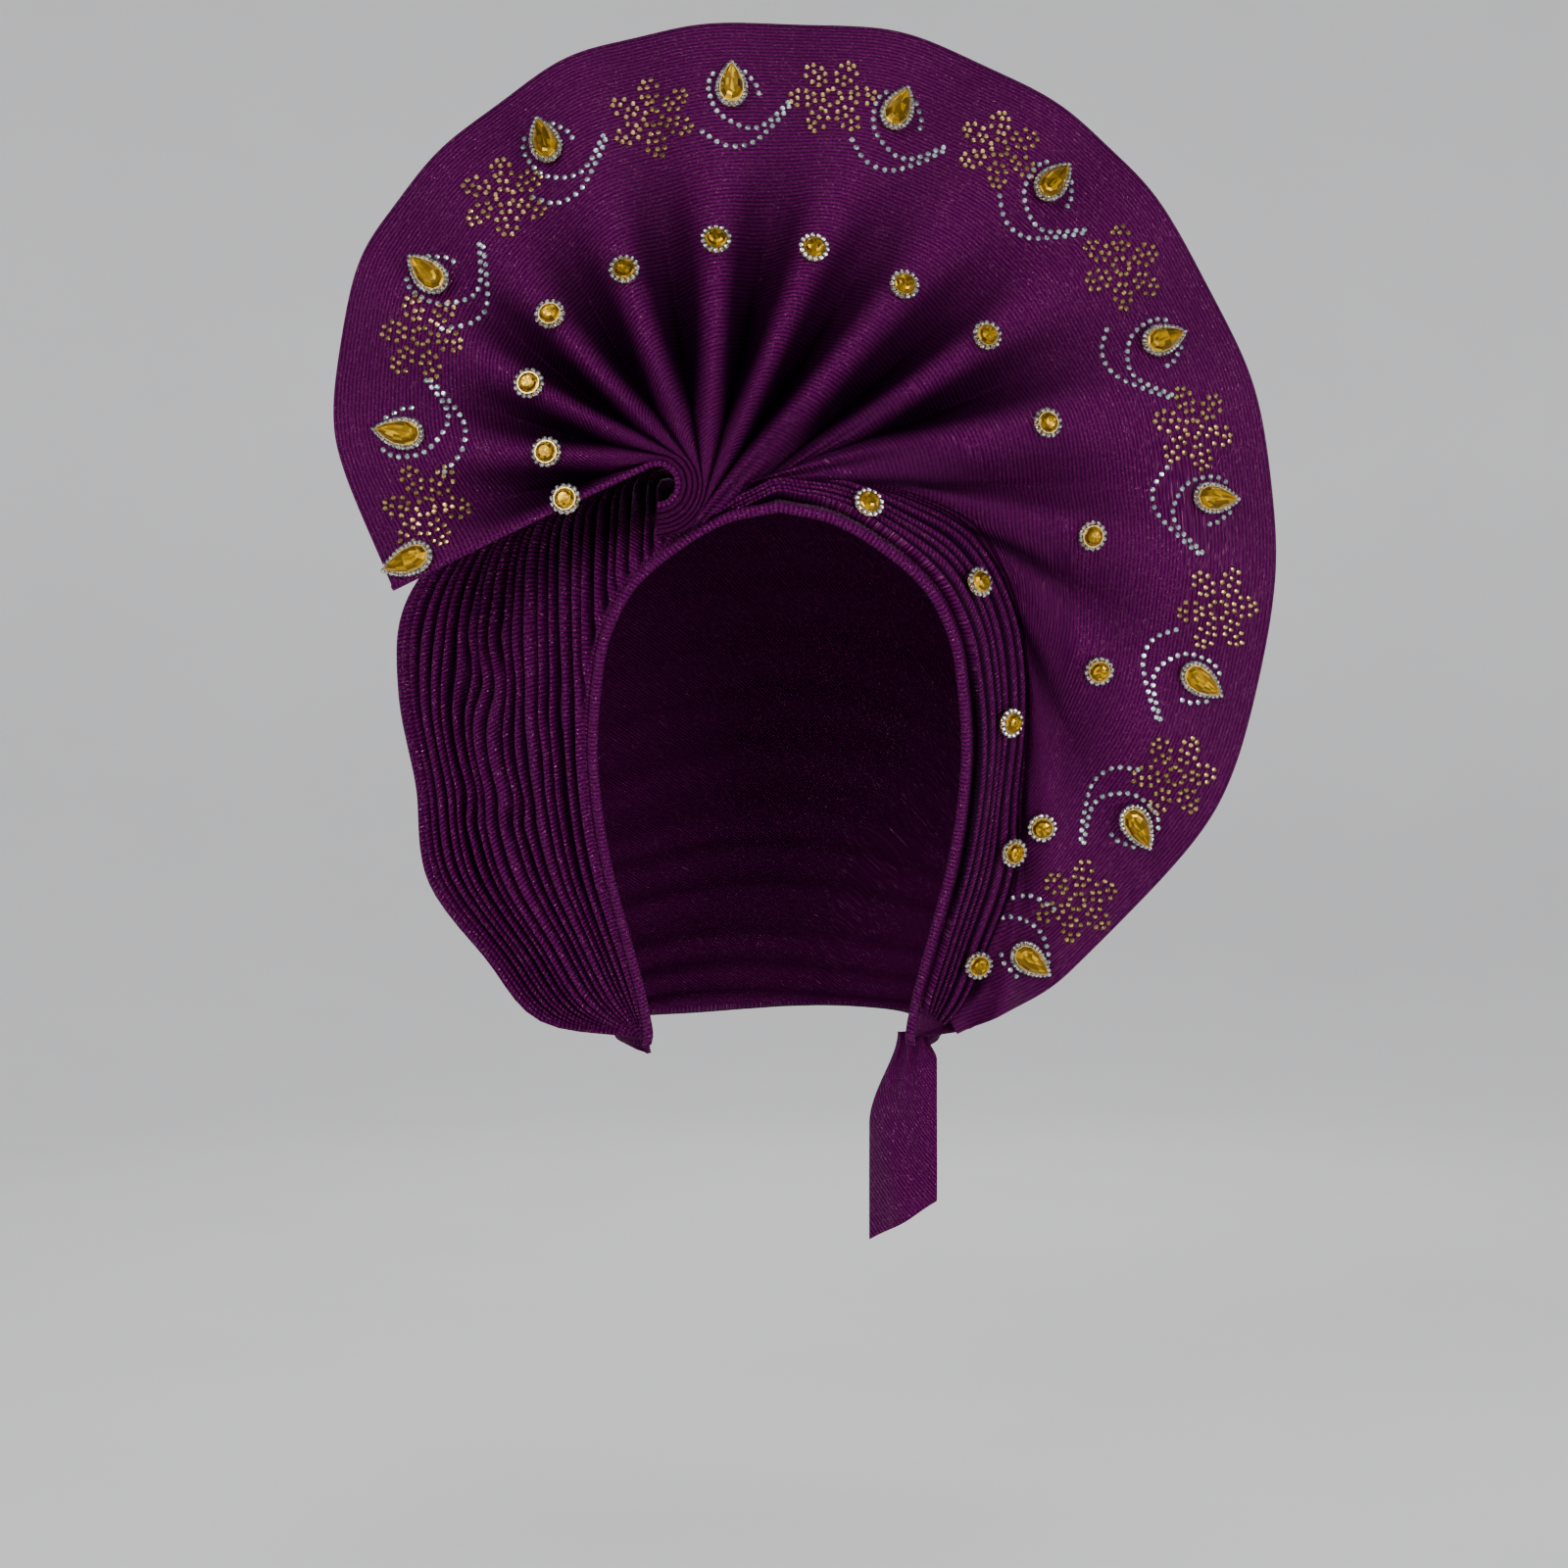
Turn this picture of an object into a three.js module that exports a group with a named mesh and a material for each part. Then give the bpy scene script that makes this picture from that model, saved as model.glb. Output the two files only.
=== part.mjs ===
// A tied gele head tie: a pleated cap that is hollow for the head, a stack of pleats beside the face
// opening, a big pleated fan, a rolled face band, a hanging tie tail and stone brooches.
//
// Millimetres, +X to the viewer's right, +Y away from the viewer, +Z up. The origin is the point inside
// the crown where the top of the head sits.

import * as THREE from 'three';

// Cloth
const CLOTH = 2;
const CLEARANCE = 0.35;

// Cap: hoops of cloth that all start and end in two gathers at the nape, left and right
const CROWN_HEIGHT = 252;
const NAPE_SET_BACK = 25;
const NAPE_HALF_WIDTH = 54;
const NAPE_GATHER = 10;
const CAP_REACH = 255;
const CAP_HALF_WIDTH = 150;
const CAP_PLEAT_HEIGHT = 2.2;
const FRONT_PLEATS = 17;
const BACK_PLEATS = 7;
const BACK_PLEAT_HEIGHT = 4;
const CAP_STEPS = 20;

// Rolled face band
const BAND_RADIUS = 2;
const BAND_SIDES = 6;
const BAND_SEAT = 0.9;

// Stack of pleats beside the face opening
const STACK_SEAT = 0.8;
const STACK_START = -0.02;
const STACK_PLEATS = 8;
const STACK_PLEAT_HEIGHT = 1.4;
const STACK_RISE = 8;
const STACK_STEPS = 26;

// Fan
const EYE_RADIUS = 7.5;
const WRAP_PITCH = 2;
const THROAT_RISE = 8;
const FAN_RADIUS = 182;
const FAN_SWEEP = 110;
const FAN_WALL = 2.4;
const FAN_SEAT = 1.2;
const FOLD_DEPTH = 24;
const CORD_DEPTH = 1.2;
const RIM_WAVE = 4;
const NECK_SHARE = 0.16;
const FOLD_SAMPLES = 4;

// Tie tail
const TAIL_WIDTH = 34;
const TAIL_LENGTH = 62;
const TAIL_SLANT = 19;
const TAIL_TURN = 38;
const TAIL_RIPPLE = 1.5;
const TAIL_KNOT = 0.42;
const TAIL_KNOT_AT = 0.28;
const TAIL_OUTER_SPREAD = 0.16;
const TAIL_INNER_SPREAD = 0.45;
const TAIL_STEPS = 12;

// Brooches
const TEARDROP_LENGTH = 22.5;
const TEARDROP_WIDTH = 13.2;
const ROUND_DIAMETER = 12;
const BROOCH_HEIGHT = 4.6;
const SETTING_HEIGHT = 2.2;
const BEAD_RING = 2.1;
const BROOCH_SIDES = 10;

// Hoops of the cap from the face edge (across 0) over the crown to the nape hem (across 1). The tilt is in
// degrees from upright, backwards positive. The reach is a share of CAP_REACH, the half widths are shares
// of CAP_HALF_WIDTH, and fullness blends the face hoop's outline into the full one.
const HOOPS = [
  { across: 0.00, tilt: -26.2, reach: 0.944, left: 0.49, right: 0.49, fullness: 0.00 },
  { across: 0.16, tilt: -19.0, reach: 0.965, left: 0.66, right: 0.56, fullness: 0.35 },
  { across: 0.30, tilt: -12.0, reach: 0.985, left: 0.82, right: 0.64, fullness: 0.70 },
  { across: 0.53, tilt: -3.0, reach: 1.000, left: 1.00, right: 0.73, fullness: 1.00 },
  { across: 0.62, tilt: 12.0, reach: 0.945, left: 0.95, right: 0.75, fullness: 1.00 },
  { across: 0.72, tilt: 27.0, reach: 0.800, left: 0.86, right: 0.72, fullness: 0.80 },
  { across: 0.82, tilt: 44.0, reach: 0.590, left: 0.72, right: 0.64, fullness: 0.50 },
  { across: 0.92, tilt: 60.0, reach: 0.410, left: 0.56, right: 0.53, fullness: 0.30 },
  { across: 1.00, tilt: 75.0, reach: 0.260, left: 0.42, right: 0.42, fullness: 0.20 },
];

// Outline of half a hoop, from a nape gather (along 0) to the apex (along 1). hold is a share of
// NAPE_HALF_WIDTH, the spreads are shares of the hoop's half width and the rises of its reach.
const HOOP_OUTLINE = [
  { along: 0.00, hold: 1.00, faceSpread: 0.000, faceRise: 0.000, fullSpread: 0.000, fullRise: 0.000 },
  { along: 0.10, hold: 0.75, faceSpread: 0.236, faceRise: 0.100, fullSpread: 0.363, fullRise: 0.030 },
  { along: 0.20, hold: 0.45, faceSpread: 0.533, faceRise: 0.215, fullSpread: 0.615, fullRise: 0.135 },
  { along: 0.30, hold: 0.20, faceSpread: 0.794, faceRise: 0.335, fullSpread: 0.860, fullRise: 0.268 },
  { along: 0.40, hold: 0.00, faceSpread: 0.986, faceRise: 0.450, fullSpread: 0.960, fullRise: 0.416 },
  { along: 0.50, hold: 0.00, faceSpread: 1.000, faceRise: 0.570, fullSpread: 1.005, fullRise: 0.565 },
  { along: 0.60, hold: 0.00, faceSpread: 0.965, faceRise: 0.690, fullSpread: 1.000, fullRise: 0.690 },
  { along: 0.67, hold: 0.00, faceSpread: 0.915, faceRise: 0.770, fullSpread: 0.920, fullRise: 0.775 },
  { along: 0.75, hold: 0.00, faceSpread: 0.785, faceRise: 0.855, fullSpread: 0.770, fullRise: 0.860 },
  { along: 0.83, hold: 0.00, faceSpread: 0.575, faceRise: 0.921, fullSpread: 0.550, fullRise: 0.925 },
  { along: 0.92, hold: 0.00, faceSpread: 0.290, faceRise: 0.978, fullSpread: 0.280, fullRise: 0.980 },
  { along: 1.00, hold: 0.00, faceSpread: 0.000, faceRise: 1.000, fullSpread: 0.000, fullRise: 1.000 },
];

// Outer line of the stack on the cap. side runs from the throat over the apex (0) to the right nape
// gather (1), across is the cap's own share and rise is a share of STACK_RISE.
const STACK_LINE = [
  { side: -0.06, across: 0.012, rise: 0.60 },
  { side: 0.04, across: 0.030, rise: 0.50 },
  { side: 0.14, across: 0.110, rise: 0.40 },
  { side: 0.24, across: 0.205, rise: 0.30 },
  { side: 0.36, across: 0.235, rise: 0.20 },
  { side: 0.50, across: 0.260, rise: 0.15 },
  { side: 0.70, across: 0.290, rise: 0.15 },
  { side: 0.84, across: 0.290, rise: 0.15 },
  { side: 0.93, across: 0.260, rise: 0.15 },
];

// Ridges of the fan, from the hem at the left to the hem at the nape. A ridge that starts at the eye has
// its start angle in degrees round the eye and its lane in wrap pitches, one that starts at the stack has
// the stack's side share. The rim is at an angle and a share of FAN_RADIUS, from the disc's centre or, where
// fromRoot is 1, from the ridge's own start. bow is the sideways sag as a share of the ridge's length, and
// back is a share of FAN_SWEEP behind the neck.
const RIDGES = [
  { name: 'hem', lane: 0.0, start: -90, side: null, angle: 194.3, reach: 0.871, fromRoot: 0, bow: 0.00, back: 0.20 },
  { name: 'a', lane: 1.0, start: -90, side: null, angle: 173.3, reach: 0.980, fromRoot: 0, bow: 0.02, back: 0.31 },
  { name: 'b', lane: 2.1, start: -90, side: null, angle: 153.3, reach: 1.041, fromRoot: 0, bow: 0.04, back: 0.38 },
  { name: 'c', lane: 3.1, start: -90, side: null, angle: 137.1, reach: 1.048, fromRoot: 0, bow: 0.04, back: 0.45 },
  { name: 'd', lane: 4.0, start: -90, side: null, angle: 118.7, reach: 1.050, fromRoot: 0, bow: 0.02, back: 0.53 },
  { name: 'e', lane: 4.8, start: -90, side: null, angle: 101.4, reach: 1.022, fromRoot: 0, bow: -0.02, back: 0.58 },
  { name: 'f', lane: 5.7, start: -88, side: null, angle: 78.4, reach: 1.015, fromRoot: 0, bow: -0.01, back: 0.64 },
  { name: 'g', lane: 6.6, start: -45, side: null, angle: 57.5, reach: 1.006, fromRoot: 0, bow: -0.01, back: 0.67 },
  { name: 'h', lane: 8.1, start: -30, side: null, angle: 39.5, reach: 0.998, fromRoot: 0, bow: -0.02, back: 0.71 },
  { name: 'i', lane: null, start: null, side: -0.06, angle: 14.0, reach: 1.005, fromRoot: 0, bow: 0.00, back: 0.75 },
  { name: 'j', lane: null, start: null, side: 0.16, angle: -10.0, reach: 1.037, fromRoot: 0, bow: 0.01, back: 0.76 },
  { name: 'k', lane: null, start: null, side: 0.25, angle: -36.0, reach: 1.120, fromRoot: 0, bow: 0.00, back: 0.82 },
  { name: 'l', lane: null, start: null, side: 0.43, angle: -60.0, reach: 1.186, fromRoot: 0, bow: -0.01, back: 0.95 },
  { name: 'm', lane: null, start: null, side: 0.74, angle: -92.0, reach: 0.240, fromRoot: 1, bow: 0.03, back: 0.96 },
  { name: 'n', lane: null, start: null, side: 0.92, angle: -60.0, reach: 0.035, fromRoot: 1, bow: 0.00, back: 0.97 },
];

// Folds between one ridge and the next. depth is a share of FOLD_DEPTH, peak and fade are shares of the way
// from the neck to the rim.
const FOLDS = [
  { after: 'hem', depth: 0.75, peak: 0.30, fade: 0.90 },
  { after: 'a', depth: 0.70, peak: 0.30, fade: 0.70 },
  { after: 'b', depth: 0.90, peak: 0.30, fade: 0.75 },
  { after: 'c', depth: 0.80, peak: 0.30, fade: 0.70 },
  { after: 'd', depth: 0.85, peak: 0.30, fade: 0.75 },
  { after: 'e', depth: 1.00, peak: 0.32, fade: 0.75 },
  { after: 'f', depth: 0.95, peak: 0.30, fade: 0.75 },
  { after: 'g', depth: 0.90, peak: 0.32, fade: 0.75 },
  { after: 'h', depth: 0.80, peak: 0.30, fade: 0.80 },
  { after: 'i', depth: 0.65, peak: 0.30, fade: 0.75 },
  { after: 'j', depth: 0.40, peak: 0.25, fade: 0.70 },
  { after: 'k', depth: 0.30, peak: 0.30, fade: 0.80 },
  { after: 'l', depth: 0.20, peak: 0.30, fade: 0.80 },
  { after: 'm', depth: 0.05, peak: 0.40, fade: 0.90 },
];

// Brooches on the fan: place between ridges, share of the way from the ridge's start to the rim, and turn
// in degrees from the way to the rim.
const FAN_TEARDROPS = [
  { ridge: 0.16, out: 0.92, turn: 0 },
  { ridge: 1.05, out: 0.82, turn: 0 },
  { ridge: 2.32, out: 0.83, turn: 0 },
  { ridge: 3.70, out: 0.86, turn: 0 },
  { ridge: 5.12, out: 0.87, turn: 0 },
  { ridge: 6.18, out: 0.86, turn: 0 },
  { ridge: 7.36, out: 0.88, turn: 0 },
  { ridge: 8.64, out: 0.86, turn: 0 },
  { ridge: 9.60, out: 0.85, turn: 0 },
  { ridge: 10.60, out: 0.82, turn: 0 },
  { ridge: 11.38, out: 0.83, turn: 0 },
  { ridge: 12.52, out: 0.79, turn: 47 },
];
const FAN_ROUNDS = [
  { ridge: 0.10, out: 0.42, turn: 0 },
  { ridge: 1.00, out: 0.44, turn: 0 },
  { ridge: 2.00, out: 0.51, turn: 0 },
  { ridge: 3.00, out: 0.56, turn: 0 },
  { ridge: 4.00, out: 0.55, turn: 0 },
  { ridge: 5.00, out: 0.58, turn: 0 },
  { ridge: 6.00, out: 0.59, turn: 0 },
  { ridge: 7.00, out: 0.61, turn: 0 },
  { ridge: 8.00, out: 0.57, turn: 0 },
  { ridge: 9.00, out: 0.58, turn: 0 },
  { ridge: 10.00, out: 0.48, turn: 0 },
  { ridge: 11.00, out: 0.50, turn: 0 },
  { ridge: 12.10, out: 0.48, turn: 0 },
];
// Brooches on the stack: side share along the stack and share of the way across it.
const STACK_ROUNDS = [
  { side: 0.11, over: 0.25 },
  { side: 0.29, over: 0.42 },
  { side: 0.49, over: 0.50 },
  { side: 0.67, over: 0.80 },
  { side: 0.82, over: 0.84 },
];

const CLOTH_LOOK = { color: 0x4a0f52, roughness: 0.55, metalness: 0.1 };
const BROOCH_LOOK = { color: 0xd9a520, roughness: 0.15, metalness: 0.6 };

const gele = new THREE.Group();

function addPiece(name, geometry, look) {
  const mesh = new THREE.Mesh(geometry, new THREE.MeshStandardMaterial(look));
  mesh.name = name;
  gele.add(mesh);
  return mesh;
}

const clamp = THREE.MathUtils.clamp;
const lerp = THREE.MathUtils.lerp;
const radians = THREE.MathUtils.degToRad;

function ease(x) {
  const c = clamp(x, 0, 1);
  return c * c * (3 - 2 * c);
}

// One smooth curve through four values, from the second (f 0) to the third (f 1).
function through(a, b, c, d, f) {
  const slopeIn = (c - a) / 2;
  const slopeOut = (d - b) / 2;
  const f2 = f * f;
  const f3 = f2 * f;
  return (2 * f3 - 3 * f2 + 1) * b + (f3 - 2 * f2 + f) * slopeIn + (3 * f2 - 2 * f3) * c + (f3 - f2) * slopeOut;
}

// Smooth reading of one column of a table whose rows rise in the key column.
function read(table, key, column, at) {
  const last = table.length - 1;
  const x = clamp(at, table[0][key], table[last][key]);
  let i = 0;
  while (i < last - 1 && x > table[i + 1][key]) {
    i += 1;
  }
  const before = table[Math.max(i - 1, 0)];
  const a = table[i];
  const b = table[i + 1];
  const after = table[Math.min(i + 2, last)];
  const span = b[key] - a[key];
  const slopeIn = span * (b[column] - before[column]) / (b[key] - before[key]);
  const slopeOut = span * (after[column] - a[column]) / (after[key] - a[key]);
  const f = (x - a[key]) / span;
  const f2 = f * f;
  const f3 = f2 * f;
  return (2 * f3 - 3 * f2 + 1) * a[column] + (f3 - 2 * f2 + f) * slopeIn
    + (3 * f2 - 2 * f3) * b[column] + (f3 - f2) * slopeOut;
}

// The closed slab between two grids of points with the same rows and columns.
function slab(front, back) {
  const rows = front.length;
  const columns = front[0].length;
  const positions = [];
  for (const grid of [front, back]) {
    for (const row of grid) {
      for (const p of row) {
        positions.push(p.x, p.y, p.z);
      }
    }
  }
  const index = [];
  const at = (side, r, c) => side * rows * columns + r * columns + c;
  const quad = (a, b, c, d) => index.push(a, c, b, a, d, c);
  for (let r = 0; r < rows - 1; r += 1) {
    for (let c = 0; c < columns - 1; c += 1) {
      quad(at(0, r, c), at(0, r, c + 1), at(0, r + 1, c + 1), at(0, r + 1, c));
      quad(at(1, r, c), at(1, r + 1, c), at(1, r + 1, c + 1), at(1, r, c + 1));
    }
  }
  for (let r = 0; r < rows - 1; r += 1) {
    quad(at(0, r + 1, 0), at(1, r + 1, 0), at(1, r, 0), at(0, r, 0));
    quad(at(0, r, columns - 1), at(1, r, columns - 1), at(1, r + 1, columns - 1), at(0, r + 1, columns - 1));
  }
  for (let c = 0; c < columns - 1; c += 1) {
    quad(at(0, 0, c), at(1, 0, c), at(1, 0, c + 1), at(0, 0, c + 1));
    quad(at(0, rows - 1, c + 1), at(1, rows - 1, c + 1), at(1, rows - 1, c), at(0, rows - 1, c));
  }
  const geometry = new THREE.BufferGeometry();
  geometry.setAttribute('position', new THREE.Float32BufferAttribute(positions, 3));
  geometry.setIndex(index);
  return geometry;
}

// The closed skin over a row of rings with the same number of points, with flat ends.
function loft(rings) {
  const n = rings[0].length;
  const index = [];
  for (let k = 0; k < rings.length - 1; k += 1) {
    for (let i = 0; i < n; i += 1) {
      const j = (i + 1) % n;
      index.push(k * n + i, (k + 1) * n + i, (k + 1) * n + j, k * n + i, (k + 1) * n + j, k * n + j);
    }
  }
  const end = (rings.length - 1) * n;
  for (let i = 1; i < n - 1; i += 1) {
    index.push(0, i, i + 1);
    index.push(end, end + i + 1, end + i);
  }
  const positions = rings.flat().flatMap((p) => [p.x, p.y, p.z]);
  const geometry = new THREE.BufferGeometry();
  geometry.setAttribute('position', new THREE.Float32BufferAttribute(positions, 3));
  geometry.setIndex(index);
  return geometry;
}

// A point of the cap's smooth surface. across runs from the face edge (0) to the nape hem (1), side from
// the left gather (-1) over the apex (0) to the right gather (1).
function capPoint(across, side) {
  const along = 1 - Math.abs(side);
  const fullness = read(HOOPS, 'across', 'fullness', across);
  const reach = CAP_REACH * read(HOOPS, 'across', 'reach', across);
  const halfWidth = CAP_HALF_WIDTH * read(HOOPS, 'across', side < 0 ? 'left' : 'right', across);
  const spread = lerp(
    read(HOOP_OUTLINE, 'along', 'faceSpread', along),
    read(HOOP_OUTLINE, 'along', 'fullSpread', along),
    fullness,
  );
  const rise = lerp(
    read(HOOP_OUTLINE, 'along', 'faceRise', along),
    read(HOOP_OUTLINE, 'along', 'fullRise', along),
    fullness,
  );
  const out = NAPE_HALF_WIDTH * read(HOOP_OUTLINE, 'along', 'hold', along) + halfWidth * spread;
  const up = NAPE_GATHER + (reach - NAPE_GATHER) * rise;
  const tilt = radians(read(HOOPS, 'across', 'tilt', across));
  return new THREE.Vector3(
    Math.sign(side) * out,
    NAPE_SET_BACK + up * Math.sin(tilt),
    up * Math.cos(tilt) - CROWN_HEIGHT,
  );
}

// The unit vectors at a point of the cap: outward, and backwards across the hoops.
function capFrame(across, side) {
  const d = 0.004;
  const backwards = capPoint(Math.min(across + d, 1), side).sub(capPoint(Math.max(across - d, 0), side)).normalize();
  const s0 = clamp(side - d, -1, 1);
  const s1 = clamp(side + d, -1, 1);
  const sideways = capPoint(across, s1).sub(capPoint(across, s0)).normalize();
  const outward = new THREE.Vector3().crossVectors(sideways, backwards).normalize();
  return { outward, backwards };
}

function onCap(across, side, lift, backwards = 0) {
  const frame = capFrame(across, side);
  return capPoint(across, side)
    .addScaledVector(frame.outward, lift)
    .addScaledVector(frame.backwards, backwards);
}

// Height of the cap's pleats, which die out in the gathers and under the stack.
function capPleatHeight(across, side) {
  const gather = ease((1 - Math.abs(side)) / 0.3);
  const height = lerp(CAP_PLEAT_HEIGHT, BACK_PLEAT_HEIGHT, ease((across - HOOPS[3].across) / 0.1));
  const covered = side > STACK_LINE[0].side - 0.1
    ? 1 - ease((across - read(STACK_LINE, 'side', 'across', side) - 0.05) / 0.1)
    : 0;
  return height * (0.1 + 0.9 * gather) * (1 - covered);
}

// The side values at which the cap and the band are sampled, closer together near the gathers.
const capSides = Array.from({ length: CAP_STEPS + 1 }, (_, s) => {
  const f = 2 * s / CAP_STEPS - 1;
  return f * (1.3 - 0.3 * f ** 2);
});

function makeCap() {
  const widest = HOOPS[3].across;
  const columns = [];
  for (let i = 0; i <= 2 * FRONT_PLEATS; i += 1) {
    columns.push({ across: widest * i / (2 * FRONT_PLEATS), crest: i % 2 });
  }
  for (let i = 1; i <= 2 * BACK_PLEATS; i += 1) {
    columns.push({ across: widest + (1 - widest) * i / (2 * BACK_PLEATS), crest: i % 2 });
  }
  const outer = [];
  const inner = [];
  for (const side of capSides) {
    outer.push(columns.map((c) => onCap(c.across, side, c.crest * capPleatHeight(c.across, side))));
    inner.push(columns.map((c) => onCap(c.across, side, c.crest * capPleatHeight(c.across, side) - CLOTH)));
  }
  return slab(outer, inner);
}

// The stack's sheet at a share over its width (0 at the face band) and a side share.
function stackPoint(over, side, lift) {
  const outerAcross = read(STACK_LINE, 'side', 'across', side);
  const rise = STACK_RISE * read(STACK_LINE, 'side', 'rise', side) * over;
  return onCap(outerAcross * over, side, STACK_SEAT + rise + lift);
}

function makeStack() {
  const front = [];
  const back = [];
  const last = STACK_LINE[STACK_LINE.length - 1].side;
  for (let s = 0; s <= STACK_STEPS; s += 1) {
    const side = lerp(STACK_START, last, s / STACK_STEPS);
    const frontRow = [];
    const backRow = [];
    for (let c = 0; c <= 2 * STACK_PLEATS; c += 1) {
      const over = lerp(0.04, 1, c / (2 * STACK_PLEATS));
      const crest = (c % 2) * STACK_PLEAT_HEIGHT;
      frontRow.push(stackPoint(over, side, crest + CLOTH));
      backRow.push(stackPoint(over, side, crest));
    }
    front.push(frontRow);
    back.push(backRow);
  }
  return { grid: front, geometry: slab(front, back) };
}

// The roll along the face edge, from gather to gather.
function makeBand() {
  const rings = [];
  for (const side of capSides) {
    const { outward, backwards } = capFrame(0, side);
    const centre = onCap(0, side, -CLOTH / 2, -(BAND_RADIUS + BAND_SEAT));
    const ring = [];
    for (let i = 0; i < BAND_SIDES; i += 1) {
      const angle = 2 * Math.PI * i / BAND_SIDES;
      ring.push(centre.clone()
        .addScaledVector(outward, BAND_RADIUS * Math.cos(angle))
        .addScaledVector(backwards, BAND_RADIUS * Math.sin(angle)));
    }
    rings.push(ring);
  }
  return loft(rings);
}

// The eye of the throat, just above and left of the face opening's top
const faceTop = capPoint(0, 0);
const eye = new THREE.Vector3(
  faceTop.x - 0.6 * HOOPS[0].left * CAP_HALF_WIDTH,
  faceTop.y - THROAT_RISE + 4,
  faceTop.z + 0.8 * EYE_RADIUS,
);
const disc = { x: eye.x + 0.296 * FAN_RADIUS, z: eye.z + 0.015 * FAN_RADIUS };

// The fan's inner edge beside the stack's outer line.
function besideStack(side) {
  const across = read(STACK_LINE, 'side', 'across', side);
  return stackPoint(1, side, CLOTH).addScaledVector(capFrame(across, side).backwards, FAN_SEAT);
}

// The line of each ridge: its start, its wrap round the eye and its run to the rim.
function ridgeLine(row) {
  const radius = EYE_RADIUS + WRAP_PITCH * (row.lane ?? 0);
  const startAngle = radians(row.start ?? 0);
  const root = row.side === null
    ? new THREE.Vector3(
      eye.x + radius * Math.cos(startAngle),
      eye.y + 0.4 * THROAT_RISE,
      eye.z + radius * Math.sin(startAngle),
    )
    : besideStack(row.side);
  const from = row.fromRoot ? root : disc;
  const rim = new THREE.Vector3(
    from.x + FAN_RADIUS * row.reach * Math.cos(radians(row.angle)),
    eye.y + FAN_SWEEP * row.back,
    from.z + FAN_RADIUS * row.reach * Math.sin(radians(row.angle)),
  );
  if (row.fromRoot) {
    rim.y = root.y + FAN_SWEEP * 0.02;
  }
  const toRim = Math.atan2(rim.z - eye.z, rim.x - eye.x);
  const leave = (toRim < -Math.PI / 2 ? toRim + 2 * Math.PI : toRim)
    - Math.acos(radius / Math.hypot(rim.x - eye.x, rim.z - eye.z));
  const wraps = row.side === null && leave > startAngle;
  const neck = wraps
    ? new THREE.Vector3(eye.x + radius * Math.cos(leave), eye.y, eye.z + radius * Math.sin(leave))
    : root.clone();
  return { row, root, rim, neck, wraps, radius, startAngle, leave };
}

const ridgeLines = RIDGES.map(ridgeLine);
const FIRST_AT_STACK = RIDGES.findIndex((row) => row.side !== null);

// A point of a ridge, out 0 at its start and 1 at the rim.
function ridgePoint(line, out) {
  const bend = (f) => {
    const along = line.rim.clone().sub(line.neck);
    const length = Math.hypot(along.x, along.z);
    const sag = 4 * f * (1 - f) * line.row.bow * length;
    return new THREE.Vector3(
      line.neck.x + along.x * f - sag * along.z / length,
      line.neck.y + along.y * (0.35 * f + 0.65 * f * f),
      line.neck.z + along.z * f + sag * along.x / length,
    );
  };
  if (!line.wraps) {
    return bend(out);
  }
  if (out < NECK_SHARE) {
    const f = out / NECK_SHARE;
    const angle = lerp(line.startAngle, line.leave, f);
    return new THREE.Vector3(
      eye.x + line.radius * Math.cos(angle),
      lerp(line.root.y, line.neck.y, ease(f)),
      eye.z + line.radius * Math.sin(angle),
    );
  }
  return bend((out - NECK_SHARE) / (1 - NECK_SHARE));
}

// The smooth surface through the ridges' crests.
function crestPoint(ridge, out) {
  const last = ridgeLines.length - 1;
  const i = Math.min(Math.floor(ridge), last - 1);
  const f = ridge - i;
  const [a, b, c, d] = [i - 1, i, i + 1, i + 2].map((k) => ridgePoint(ridgeLines[clamp(k, 0, last)], out));
  const p = new THREE.Vector3(
    through(a.x, b.x, c.x, d.x, f),
    through(a.y, b.y, c.y, d.y, f),
    through(a.z, b.z, c.z, d.z, f),
  );
  if (i >= FIRST_AT_STACK) {
    const sides = [i - 1, i, i + 1, i + 2].map((k) => RIDGES[clamp(k, FIRST_AT_STACK, last)].side);
    const roots = [i - 1, i, i + 1, i + 2].map((k) => ridgeLines[clamp(k, 0, last)].root);
    const along = besideStack(through(...sides, f));
    const straight = new THREE.Vector3(
      through(...roots.map((r) => r.x), f),
      through(...roots.map((r) => r.y), f),
      through(...roots.map((r) => r.z), f),
    );
    p.addScaledVector(along.sub(straight), 1 - ease(out / 0.3));
  }
  return p;
}

// How far the cloth falls back behind the crests.
function foldDepth(ridge, out) {
  const i = Math.min(Math.floor(ridge), FOLDS.length - 1);
  const fold = FOLDS[i];
  const way = clamp((out - NECK_SHARE) / (1 - NECK_SHARE), 0, 1);
  const swell = ease(way / fold.peak) * (1 - ease((way - fold.peak) / (fold.fade - fold.peak)));
  const depth = CORD_DEPTH + (FOLD_DEPTH * fold.depth - CORD_DEPTH) * swell + RIM_WAVE * ease(way / fold.fade);
  const fromCrest = 2 * Math.min(ridge - i, i + 1 - ridge);
  const round = 1 - Math.sqrt(1 - fromCrest ** 2);
  const wave = Math.sin(Math.PI * fromCrest / 2) ** 2;
  return depth * lerp(round, wave, clamp(way / 0.6, 0, 1));
}

function fanPoint(ridge, out) {
  const p = crestPoint(ridge, out);
  p.y += foldDepth(ridge, out);
  return p;
}

const FAN_ROWS = [0, 0.04, 0.08, 0.12, 0.16, 0.21, 0.28, 0.36, 0.45, 0.55, 0.66, 0.78, 0.9, 1];

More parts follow.
